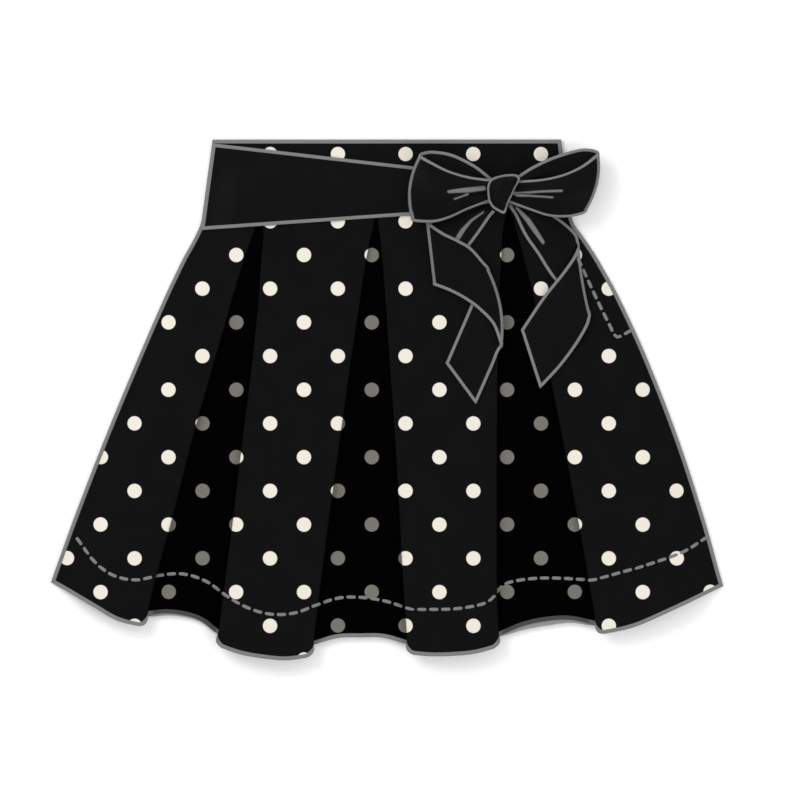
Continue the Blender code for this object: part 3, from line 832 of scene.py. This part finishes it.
# solid names the node that the ribbon stands for. Its heights are above base. steps
# and across count the grid's places from section to section and from edge to edge.
# bound is the end with a bound edge across it. folds lists the sections where it turns
# over, and lit the first and last section of the stretch with the crests.
Ribbon = namedtuple(
    "Ribbon", "solid sections base gathers steps across bound binding folds crests lit",
    defaults=((), (), None),
)
RIBBONS = rows_of(
    Ribbon,
    ("sash_left", SASH_LEFT, front_height, gathered(SASH_GATHERS, (1,)), 8, 30, "first", SASH_EDGE),
    ("sash_right", SASH_RIGHT, front_height, gathered(SASH_GATHERS, (0,)), 6, 24, "last", SASH_EDGE),
    ("tail_left", TAIL_LEFT, front_height, gathered(TAIL_GATHERS, (0,)), 12, 64, "last", BOW_EDGE,
     (6, 14), TAIL_LEFT_CRESTS, (0, 4)),
    ("tail_right", TAIL_RIGHT, front_height, gathered(TAIL_GATHERS, (0,)), 12, 64, "last", BOW_EDGE,
     (7,), TAIL_RIGHT_CRESTS, (0, 5)),
    ("bow_loop_left", LOOP_LEFT, on_floor, gathered(LOOP_GATHERS, (0, 1)), 12, 72, None, BOW_EDGE,
     (5,), LOOP_LEFT_CRESTS, (6, 10)),
    ("bow_loop_right", LOOP_RIGHT, on_floor, gathered(LOOP_GATHERS, (0, 1)), 12, 72, None, BOW_EDGE,
     (5,), LOOP_RIGHT_CRESTS, (6, 10)),
)


def ribbon_grid(r):
    """A smooth grid through a ribbon's sections, with the creases at its ends."""
    last = len(r.sections) - 1
    fields = {name: [getattr(s, name) for s in r.sections] for name in Section._fields}
    grid, uvs = [], []
    run = 0.0
    for i in range(last * r.steps + 1):
        s = Section(*(through(range(last + 1), fields[name], i / r.steps) for name in Section._fields))
        wide = hypot(s.x2 - s.x1, s.drop2 - s.drop1)
        row = []
        for j in range(r.across + 1):
            v = j / r.across
            bow = 4 * v * (1 - v)
            x = mix(s.x1, s.x2, v) + s.bow_x * bow
            drop = mix(s.drop1, s.drop2, v)
            row.append(world(x, drop, r.base(x, drop) + mix(s.z1, s.z2, v) + s.bow_z * bow))
        if grid:
            run += (row[r.across // 2] - grid[-1][r.across // 2]).length
        grid.append(row)
        uvs.append([(run, wide * MM * j / r.across) for j in range(r.across + 1)])
    for i, (row, normal_row) in enumerate(zip(grid, grid_normals(grid))):
        for j, normal in enumerate(normal_row):
            row[j] = row[j] + normal * (r.gathers(i / (last * r.steps), j / r.across) * MM)
    return grid, uvs


def crest(strokes, x, drop):
    """1 on the line of a crest, fading out beyond its width."""
    most = 0.0
    for s in strokes:
        along_x, along_drop = s.x2 - s.x1, s.drop2 - s.drop1
        u = clamp(((x - s.x1) * along_x + (drop - s.drop1) * along_drop)
                  / (along_x ** 2 + along_drop ** 2))
        away = hypot(x - s.x1 - u * along_x, drop - s.drop1 - u * along_drop)
        beyond = away - mix(s.wide1, s.wide2, u) / 2
        most = max(most, 1 - ease((beyond + CREST_FADE / 2) / CREST_FADE))
    return most


def ribbon(r, material):
    """A ribbon's cloth, with a painted highlight along the folds where it turns over and on its crests.
    """
    grid, uvs = ribbon_grid(r)
    normals = grid_normals(grid)
    painted_highlight = []
    for i, row in enumerate(grid):
        turns = [
            place.to_2d() for fold in r.folds if abs(fold * r.steps - i) <= 2 * r.steps
            for place in grid[fold * r.steps]
        ]
        pale = []
        for j, place in enumerate(row):
            near = min(((place.to_2d() - turn).length for turn in turns), default=FAR)
            # painted highlight along a fold where the ribbon turns over, and below on its crests
            value = 1 - ease((near / MM - FOLD_PALE) / FOLD_FADE)
            if r.lit and r.lit[0] <= i / r.steps <= r.lit[1]:
                raised = crest(r.crests, place.x / MM, LENGTH / 2 - place.y / MM)
                up = 1 if normals[i][j].z > 0 else -1
                row[j] = place + normals[i][j] * (up * raised * CREST_HIGH * MM)
                value = max(value, raised)
            pale.append(value)
        painted_highlight.append(pale)
    name = r.solid.removeprefix("bow_") + "_cloth"
    return cloth(name, grid, uvs, material, "painted_highlight", painted_highlight, RIBBON_CLOTH), grid


# Materials

def tree_of(name):
    material = bpy.data.materials.new(name)
    material.use_nodes = True
    tree = material.node_tree
    return material, tree, tree.nodes["Principled BSDF"]


def feed(tree, made, **inputs):
    """Sets a node's inputs, each by its name or _number, or links them to other nodes."""
    for key, value in inputs.items():
        socket = made.inputs[int(key[1:]) if key[1:].isdigit() else key.replace("_", " ")]
        if isinstance(value, bpy.types.NodeSocket):
            tree.links.new(value, socket)
        else:
            socket.default_value = value


def node(tree, kind, settings=None, **inputs):
    made = tree.nodes.new(kind)
    for key, value in (settings or {}).items():
        setattr(made, key, value)
    feed(tree, made, **inputs)
    return made


def maths(tree, operation, *values):
    inputs = {"_%d" % i: value for i, value in enumerate(values)}
    return node(tree, "ShaderNodeMath", {"operation": operation}, **inputs).outputs[0]


def remap(tree, value, from_low, from_high, low, high, kind="LINEAR"):
    return node(
        tree, "ShaderNodeMapRange", {"interpolation_type": kind},
        _0=value, _1=from_low, _2=from_high, _3=low, _4=high,
    ).outputs[0]


def blend(tree, share, none, full):
    """From one colour at a share of 0 to the other at 1."""
    return node(tree, "ShaderNodeMix", {"data_type": "RGBA"}, _0=share, _6=none, _7=full).outputs[2]


def scaled(tree, colour, by):
    return node(tree, "ShaderNodeVectorMath", {"operation": "SCALE"}, _0=colour, Scale=by).outputs[0]


def noise(tree, uv, scale, detail, **more):
    return node(tree, "ShaderNodeTexNoise", _0=uv, Scale=scale, Detail=detail, **more).outputs[0]


def bump(tree, height, strength, distance, **under):
    """The surface with a relief, which may lie over another one."""
    return node(
        tree, "ShaderNodeBump", Strength=strength, Distance=distance, Height=height, **under,
    ).outputs[0]


def marked(tree, label):
    """The value that the piece's points carry under a label."""
    return node(tree, "ShaderNodeAttribute", {"attribute_name": label}).outputs["Fac"]


def print_uv(tree):
    return node(tree, "ShaderNodeUVMap", {"uv_map": "print"}).outputs[0]


def across_and_along(tree, uv):
    split = node(tree, "ShaderNodeSeparateXYZ", _0=uv)
    return split.outputs[0], split.outputs[1]


def dots(tree, u, v):
    """1 inside a dot of the print and 0 outside it."""
    nearest = None
    for shift in (0.0, 0.5):
        du = maths(tree, "SUBTRACT", u, (DOT_X + shift * REPEAT_X) * MM)
        dv = maths(tree, "SUBTRACT", v, -(DOT_DROP + shift * REPEAT_Y) * MM)
        du = maths(tree, "WRAP", du, REPEAT_X * MM / 2, -REPEAT_X * MM / 2)
        dv = maths(tree, "WRAP", dv, REPEAT_Y * MM / 2, -REPEAT_Y * MM / 2)
        away = maths(tree, "SQRT", maths(
            tree, "ADD", maths(tree, "MULTIPLY", du, du), maths(tree, "MULTIPLY", dv, dv),
        ))
        nearest = away if nearest is None else maths(tree, "MINIMUM", nearest, away)
    edge, soft = DOT / 2 * MM, DOT_SOFT * MM
    return remap(tree, nearest, edge + soft, edge - soft, 0.0, 1.0, "SMOOTHSTEP")


def weave(tree, u, v, pitch):
    """Over and under of a plain weave, from -1 to 1."""
    turn = 2 * pi / (pitch * MM)
    warp = maths(tree, "SINE", maths(tree, "MULTIPLY", u, turn))
    weft = maths(tree, "SINE", maths(tree, "MULTIPLY", v, turn))
    return maths(tree, "MULTIPLY", warp, weft)


def dotted_cloth():
    """Matt cotton, with painted shade inside a pleat: there its black is darkened twice and its dots
    once.
    """
    material, tree, shader = tree_of("dotted_cotton")
    uv = print_uv(tree)
    u, v = across_and_along(tree, uv)
    spread = noise(tree, uv, scale=34.0, detail=5.0, Roughness=0.6)
    # painted shade: the cloth's colour is darkened inside a pleat, where shade falls
    shade = remap(tree, marked(tree, "inside"), 0.0, 1.0, 1.0, PLEAT_SHADE)
    ground = scaled(tree, blend(tree, spread, *BLACK_COTTON), shade)
    cream = blend(tree, noise(tree, uv, scale=900.0, detail=2.0), *CREAM_PRINT)
    printed = blend(tree, dots(tree, u, v), ground, cream)
    soft = bump(tree, spread, strength=0.5, distance=0.0016)
    threads = weave(tree, u, v, WEAVE)
    feed(
        tree, shader,
        Base_Color=scaled(tree, printed, shade),
        Roughness=remap(tree, spread, from_low=0.3, from_high=0.7, low=0.72, high=0.86),
        Normal=bump(tree, threads, strength=0.35, distance=0.00016, Normal=soft),
        Specular_IOR_Level=0.008,
        Sheen_Weight=0.006,
        Sheen_Roughness=0.5,
    )
    return material


def sash_cloth():
    """Plain sateen, streaked along the ribbon, with a painted highlight on the ribbons' folds and
    crests.
    """
    material, tree, shader = tree_of("sash_sateen")
    uv = print_uv(tree)
    spread = noise(tree, uv, scale=26.0, detail=4.0)
    ground = blend(tree, spread, *BLACK_SATEEN)
    streaks = node(tree, "ShaderNodeMapping", _0=uv, Scale=(40, 900, 1)).outputs[0]
    silk = noise(tree, streaks, scale=1.0, detail=3.0)
    soft = bump(tree, spread, strength=0.4, distance=0.0012)
    feed(
        tree, shader,
        # painted highlight on the folds and crests of the ribbons
        Base_Color=blend(tree, marked(tree, "painted_highlight"), ground, SATEEN_HIGHLIGHT),
        Roughness=0.46,
        Normal=bump(tree, silk, strength=0.25, distance=0.0002, Normal=soft),
        Specular_IOR_Level=0.034,
        Sheen_Weight=0.006,
        Sheen_Roughness=0.4,
    )
    return material


def grey_thread(name, shade, pitch):
    """Spun thread, with the slant of its twist."""
    material, tree, shader = tree_of(name)
    uv = print_uv(tree)
    u, v = across_and_along(tree, uv)
    slant = maths(tree, "ADD", u, maths(tree, "MULTIPLY", v, TWIST_SLANT))
    twist = maths(tree, "SINE", maths(tree, "MULTIPLY", slant, 2 * pi / (pitch * MM)))
    greys = [(shade * part, shade * part, shade * (part + 0.01), 1) for part in FIBRE_TONES]
    tone = blend(tree, noise(tree, uv, scale=420.0, detail=3.0), *greys)
    feed(
        tree, shader,
        Base_Color=scaled(tree, tone, marked(tree, "tone")),
        Roughness=0.8,
        Normal=bump(tree, twist, strength=0.25, distance=0.0001),
        Specular_IOR_Level=0.12,
        Sheen_Weight=0.02,
    )
    return material


def pale_floor():
    material, tree, shader = tree_of("pale_floor")
    feed(tree, shader, Base_Color=FLOOR_WHITE, Roughness=0.9)
    return material


# Bound edges

def squarer(u):
    """Rounds a binding's section less, so that it lies flat on the cloth."""
    return copysign(abs(u) ** SQUARENESS, u)


def unchanged(x):
    return 1.0


def in_side_pleats(value):
    """The value in the first and last pleat along the hem, and 1 elsewhere."""

    def at(x):
        for k in (0, LAST_PLEAT):
            low = PLEAT_HEM[k].half
            a, b = line(PLEAT_LINES[k][0], low), line(PLEAT_LINES[k][1], low)
            if a < x < b:
                inside = [ease((away - PLEAT_EDGE) / PLEAT_FADE) for away in (x - a, b - x)]
                return mix(1.0, value, inside[0] * inside[1])
        return 1.0

    return at


def edge_line(name, runs, binding, closed=False, tone=unchanged, spread=unchanged):
    """A narrow bound edge along runs of places, each with the normal of its cloth.
    tone and spread change its shade and its width along x."""
    points, faces, uvs = [], [], []
    for run in runs:
        spots = [run[0]]
        for spot in run[1:]:
            if (spot[0] - spots[-1][0]).length > SAME_PLACE * MM:
                spots.append(spot)
        count, base, length = len(spots), len(points), 0.0
        for i, (place, normal) in enumerate(spots):
            before = spots[i - 1][0] if i or closed else place
            after = spots[(i + 1) % count][0] if i < count - 1 or closed else place
            into, out = (place - before).normalized(), (after - place).normalized()
            ahead = (into + out).normalized()
            across = ahead.cross(normal).normalized()
            mitre = 1 / max(MITRE_LEAST, ahead.dot(into), ahead.dot(out) if i == 0 else 0)
            up = across.cross(ahead).normalized()
            middle = place + normal * binding.lift * MM
            length += (place - before).length
            wide = binding.wide * MM / 2 * spread(place.x / MM)
            for k in range(EDGE_SIDES):
                a = 2 * pi * (k + 0.5) / EDGE_SIDES
                points.append(
                    middle + across * (squarer(cos(a)) * mitre * wide)
                    + up * (squarer(sin(a)) * binding.thick * MM / 2)
                )
                uvs.append((length, wide * squarer(cos(a))))
        for i in range(count if closed else count - 1):
            low, high = base + i * EDGE_SIDES, base + (i + 1) % count * EDGE_SIDES
            for k in range(EDGE_SIDES):
                n = (k + 1) % EDGE_SIDES
                faces.append((low + k, low + n, high + n, high + k))
        if not closed:
            faces.append(tuple(base + k for k in range(EDGE_SIDES)))
            faces.append(tuple(base + (count - 1) * EDGE_SIDES + k for k in range(EDGE_SIDES)))
    tones = [tone(point.x / MM) for point in points]
    return sewn_piece(name, points, faces, uvs, edge_thread, "tone", tones)


def sides_of(grid):
    """The grid's four edges, each place with its cloth's normal: top, bottom, left, right."""
    both = [list(zip(*rows)) for rows in zip(grid, grid_normals(grid))]
    return both[0], both[-1], [row[0] for row in both], [row[-1] for row in both]


def run_on(run):
    """The run with both its ends carried on, to close a corner."""
    (first, normal_a), (last, normal_b) = run[0], run[-1]
    start = first + (first - run[1][0]).normalized() * CORNER_OVER * MM
    end = last + (last - run[-2][0]).normalized() * CORNER_OVER * MM
    return [(start, normal_a)] + run + [(end, normal_b)]


def seam_run(hand):
    """Down the left (0) or the right (-1) side of the band and the skirt."""
    rows = grids["waistband_front"] + grids["skirt_front"]
    return [(Vector((row[hand].x, row[hand].y, SIDE_MIDDLE * MM)), UP) for row in rows]


def ribbon_runs(r):
    """Both long edges of a ribbon, joined across the end that is bound."""
    start, finish, first, second = sides_of(grids[r.solid])
    if r.bound == "last":
        return [first + list(finish[1:-1]) + second[::-1]]
    if r.bound == "first":
        return [first[::-1] + list(start[1:-1]) + second]
    return [first, second]


# Stitches

class Needle:
    """A smooth line through spots, and the place and heading at any length along it."""

    def __init__(self, spots):
        steps = (len(spots) - 1) * LINE_STEPS
        self.fine = [Vector(along(spots, i / LINE_STEPS)) for i in range(steps + 1)]
        self.runs = [0.0]
        for a, b in zip(self.fine, self.fine[1:]):
            self.runs.append(self.runs[-1] + (b - a).length)
        self.length = self.runs[-1]

    def at(self, due):
        """Beyond either end the line runs straight on."""
        last = len(self.runs) - 1
        i = max(1, next((n for n, run in enumerate(self.runs) if run >= due), last))
        u = (due - self.runs[i - 1]) / (self.runs[i] - self.runs[i - 1])
        before = self.fine[max(0, i - STITCH_REACH)]
        after = self.fine[min(last, i + STITCH_REACH)]
        return self.fine[i - 1].lerp(self.fine[i], u), (after - before).normalized()


def ball(name, segments, rings, radius):
    """A ball, opened so that its points can be moved."""
    bpy.ops.object.select_all(action="DESELECT")
    bpy.ops.mesh.primitive_uv_sphere_add(
        segments=segments, ring_count=rings, radius=radius, location=(0, 0, 0),
    )
    piece = bpy.context.active_object
    piece.name = name
    bpy.ops.object.mode_set(mode="EDIT")
    return piece, bmesh.from_edit_mesh(piece.data)


def close(piece):
    """Ends the shaping of a ball."""
    bmesh.update_edit_mesh(piece.data)
    bpy.ops.object.mode_set(mode="OBJECT")


def one_stitch(name):
    """A long flattened bead along x, as a thread lies between its two holes."""
    stitch, bm = ball(name, segments=10, rings=8, radius=0.5)
    straight = (STITCH_LONG - STITCH_WIDE) / 2
    for vert in bm.verts:
        side = 0 if abs(vert.co.z) < MIDDLE_RING else copysign(1, vert.co.z)
        vert.co = (
            vert.co.z * STITCH_WIDE + side * straight, vert.co.y * STITCH_WIDE, vert.co.x * STITCH_HIGH,
        )
    close(stitch)
    return stitch


def stitch_row(name, spots, count, cloths, above=True):
    """One stitch is modelled and copied along the line. Each bends with the line, lies
    on the cloth and is joined to the row."""
    surface = surface_of(cloths)
    needle = Needle(spots)
    first = one_stitch(name)
    pieces = []
    for k in range(count):
        due = needle.length * k / (count - 1)
        spot = needle.at(due)[0]
        start = world(spot.x, spot.y, NEEDLE_ABOVE if above else NEEDLE_BELOW)
        hit, normal = surface.ray_cast(start, DOWN if above else UP)[:2]
        if hit is None:
            continue
        if above:
            level = hit.z + STITCH_SUNK * MM
            slope_x, slope_y = -normal.x / normal.z, -normal.y / normal.z
        else:
            level = max(hit.z + STITCH_IN * MM, STITCH_LOW * MM)
            slope_x, slope_y = 0.0, 0.0
        copy = first.copy()
        copy.data = first.data.copy()
        bpy.context.collection.objects.link(copy)
        for vert in copy.data.vertices:
            on_line, ahead = needle.at(due + vert.co.x)
            x = on_line.x + ahead.y * vert.co.y
            drop = on_line.y - ahead.x * vert.co.y
            place = world(x, drop, vert.co.z)
            place.z += level + slope_x * (place.x - hit.x) + slope_y * (place.y - hit.y)
            vert.co = place
        pieces.append(copy)
    bpy.data.objects.remove(first, do_unlink=True)
    bpy.ops.object.select_all(action="DESELECT")
    for piece in pieces:
        piece.select_set(True)
    bpy.context.view_layer.objects.active = pieces[0]
    bpy.ops.object.join()
    row = bpy.context.active_object
    row.name = row.data.name = name
    for layer in row.data.uv_layers:
        layer.name = "print"
        for loop in row.data.loops:
            layer.data[loop.index].uv = layer.data[loop.index].uv * (STITCH_LONG * MM)
    tones = row.data.attributes.new("tone", "FLOAT", "POINT")
    tones.data.foreach_set("value", [1.0] * len(row.data.vertices))
    finish_mesh(row.data, stitch_thread)
    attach(row, "root")
    return row


def surface_of(solids):
    """What a needle meets: the faces of the pieces that stand for these solids."""
    bm = bmesh.new()
    for solid in solids:
        bm.from_mesh(made[solid].data)
    tree = BVHTree.FromBMesh(bm)
    bm.free()
    return tree


# The knot

def knot_outline():
    """The knot's outline as a smooth ring, each place with its normal."""
    count = len(KNOT)
    around = [KNOT[i % count] for i in range(-2, count + 3)]
    ring = []
    for i in range(count * KNOT_STEPS):
        x, drop = along(around, 2 + i / KNOT_STEPS)
        ring.append((world(x, drop, KNOT_EDGE_AT), UP))
    return ring


def knot(name, material):
    """A ball shaped to the knot's outline, with the folds of the cloth round it."""
    piece, bm = ball(name, segments=72, rings=48, radius=1)
    mid_x = sum(s.x for s in KNOT) / len(KNOT)
    mid_drop = sum(s.drop for s in KNOT) / len(KNOT)
    ring = sorted(
        (atan2(mid_drop - s.drop, s.x - mid_x), hypot(mid_drop - s.drop, s.x - mid_x)) for s in KNOT
    )
    turn = 2 * pi
    ring = [(a - turn, r) for a, r in ring[-2:]] + ring + [(a + turn, r) for a, r in ring[:2]]
    angles, radii = [a for a, r in ring], [r for a, r in ring]
    middle = (KNOT_LOW + KNOT_HIGH) / 2
    tall = (KNOT_HIGH - KNOT_LOW) / 2
    for vert in bm.verts:
        level, flat = vert.co.z, hypot(vert.co.x, vert.co.y)
        angle = atan2(vert.co.y, vert.co.x)
        reach = through(angles, radii, angle) * flat ** KNOT_SIDES
        x, drop = mid_x + reach * cos(angle), mid_drop - reach * sin(angle)
        z = middle + tall * copysign(abs(level) ** KNOT_TOP, level)
        push = sum(
            w.deep * swell((x - mid_x) - w.start - w.slope * (drop - mid_drop), w.wide)
            for w in KNOT_WRAPS
        ) * ease((z - middle + WRAP_RISE / 2) / WRAP_RISE)
        vert.co = world(x, drop, z + push)
    close(piece)
    piece.data.name = name
    for layer in piece.data.uv_layers:
        layer.name = "print"
    finish_mesh(piece.data, material)
    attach(piece, "root")
    return piece


dotted = dotted_cloth()
sateen = sash_cloth()
edge_thread = grey_thread("edge_thread", EDGE_GREY, pitch=1.0)
stitch_thread = grey_thread("stitch_thread", STITCH_GREY, pitch=1.1)

# Every piece of cloth and the grid of its middle surface, by the solid it stands for
made, grids = {}, {}
made["skirt_back"], grids["skirt_back"] = skirt_side("back_cloth", BACK, BACK_ROWS, dotted)
made["skirt_front"], grids["skirt_front"] = skirt_side("front_cloth", FRONT, FRONT_ROWS, dotted)
for solid, side in (("waistband_back", BACK), ("waistband_front", FRONT)):
    made[solid], grids[solid] = waistband(solid + "_cloth", side, dotted)
for r in RIBBONS:
    made[r.solid], grids[r.solid] = ribbon(r, sateen)
made["bow_knot"] = knot("knot_cloth", sateen)

for solid, piece in made.items():
    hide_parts(solid)

front_hem = sides_of(grids["skirt_front"])[1]
back_hem = [(p, UP if p.z < LYING_BELOW * MM else n) for p, n in sides_of(grids["skirt_back"])[1]]
front_waist = sides_of(grids["waistband_front"])[0]
back_waist = sides_of(grids["waistband_back"])[0]
edges = {
    "hem_front": edge_line(
        "hem_edge_front", [run_on(front_hem)], FRONT_EDGE, tone=in_side_pleats(PLEAT_DARK)),
    "hem_back": edge_line(
        "hem_edge_back", [back_hem], BACK_EDGE,
        tone=in_side_pleats(PLEAT_PALE), spread=in_side_pleats(PLEAT_WIDE)),
    "waist_front": edge_line("waist_edge_front", [run_on(front_waist)], FRONT_EDGE),
    "waist_back": edge_line("waist_edge_back", [back_waist], BACK_EDGE),
    "side_left": edge_line("side_seam_left", [seam_run(0)], SIDE_EDGE),
    "side_right": edge_line("side_seam_right", [seam_run(-1)], SIDE_EDGE),
}
for r in RIBBONS:
    name = r.solid.removeprefix("bow_")
    edges[name] = edge_line(name + "_edge", ribbon_runs(r), r.binding)
edges["knot"] = edge_line("knot_edge", [knot_outline()], KNOT_EDGE, closed=True)

top = ("skirt_front", "tail_left", "tail_right")
stitches = {
    "hem_front": stitch_row("hem_stitches_front", HEM_STITCH, HEM_STITCHES, top),
    "hem_back": stitch_row(
        "hem_stitches_back", HEM_STITCH, HEM_STITCHES, ("skirt_back",), above=False),
    "side": stitch_row("side_opening_stitches", SIDE_STITCH, SIDE_STITCHES, top),
}

# Each piece of cloth as it is cut, in metres, before it is pleated, folded or tied. The
# width goes round every fold at the widest place, the length down the longest. Most
# are wider at one end than at the other, so the area is less than both together give.
Cut = namedtuple("Cut", "piece width length area held rests_on sewn")
CUTS = rows_of(
    Cut,
    ("skirt_front", 1.054, 0.454, 0.334, "folded", ["skirt_back"],
     [edges["hem_front"], stitches["hem_front"], stitches["side"]]),
    ("skirt_back", 1.027, 0.454, 0.330, "folded", [], [edges["hem_back"], stitches["hem_back"]]),
    ("waistband_front", 0.365, 0.068, 0.0238, "laid", ["waistband_back"], [edges["waist_front"]]),
    ("waistband_back", 0.363, 0.067, 0.0236, "laid", [], [edges["waist_back"]]),
    ("sash_left", 0.0835, 0.285, 0.0161, "laid", ["waistband_front"], [edges["sash_left"]]),
    ("sash_right", 0.0553, 0.0566, 0.0019, "laid", ["waistband_front"], [edges["sash_right"]]),
    ("tail_left", 0.078, 0.259, 0.0104, "folded", ["skirt_front"], [edges["tail_left"]]),
    ("tail_right", 0.0715, 0.226, 0.0083, "folded", ["skirt_front"], [edges["tail_right"]]),
    ("bow_loop_left", 0.0657, 0.167, 0.0082, "folded", ["sash_left"], [edges["loop_left"]]),
    ("bow_loop_right", 0.064, 0.178, 0.0079, "folded", ["sash_right"], [edges["loop_right"]]),
)

# Floor, light and camera, in metres
FLOOR = 8.0
FLOOR_Z = -0.0004
Lamp = namedtuple("Lamp", "name place size power")
LAMPS = rows_of(
    Lamp, ("key", (-1.5, 1.3, 1.7), 1.5, 26), ("fill", (1.7, -0.9, 1.6), 1.8, 14),
)
SKY = 0.86

bpy.ops.object.select_all(action="DESELECT")
bpy.ops.mesh.primitive_grid_add(
    x_subdivisions=8, y_subdivisions=8, size=FLOOR, location=(0, 0, FLOOR_Z),
)
floor = bpy.context.active_object
floor.name = "floor"
floor.data.materials.append(pale_floor())

for lamp in LAMPS:
    light = bpy.data.lights.new(lamp.name, "AREA")
    light.shape = "DISK"
    light.size = lamp.size
    light.energy = lamp.power
    stand = bpy.data.objects.new(lamp.name, light)
    stand.location = lamp.place
    stand.rotation_euler = (-Vector(lamp.place)).to_track_quat("-Z", "Y").to_euler()
    bpy.context.collection.objects.link(stand)
sky = bpy.data.worlds.new("studio")
sky.use_nodes = True
sky.node_tree.nodes["Background"].inputs["Color"].default_value = (1, 1, 1, 1)
sky.node_tree.nodes["Background"].inputs["Strength"].default_value = SKY
bpy.context.scene.world = sky
bpy.context.scene.view_settings.view_transform = "Standard"

PHOTO = 800.0        # the drawing's side, in pixels of one millimetre
PHOTO_X = 12.5       # its middle, in x and drop
PHOTO_DROP = 258.5
LENS = 400.0
SENSOR = 36.0
FOCUS = 6.0          # height in mm of the plane that is seen at full size
CLIP = 50
camera = bpy.data.cameras.new("camera")
camera.lens = LENS
camera.sensor_width = SENSOR
camera.clip_end = CLIP
eye = bpy.data.objects.new("camera", camera)
eye.location = world(PHOTO_X, PHOTO_DROP, FOCUS + PHOTO * LENS / SENSOR)
bpy.context.collection.objects.link(eye)
bpy.context.scene.camera = eye
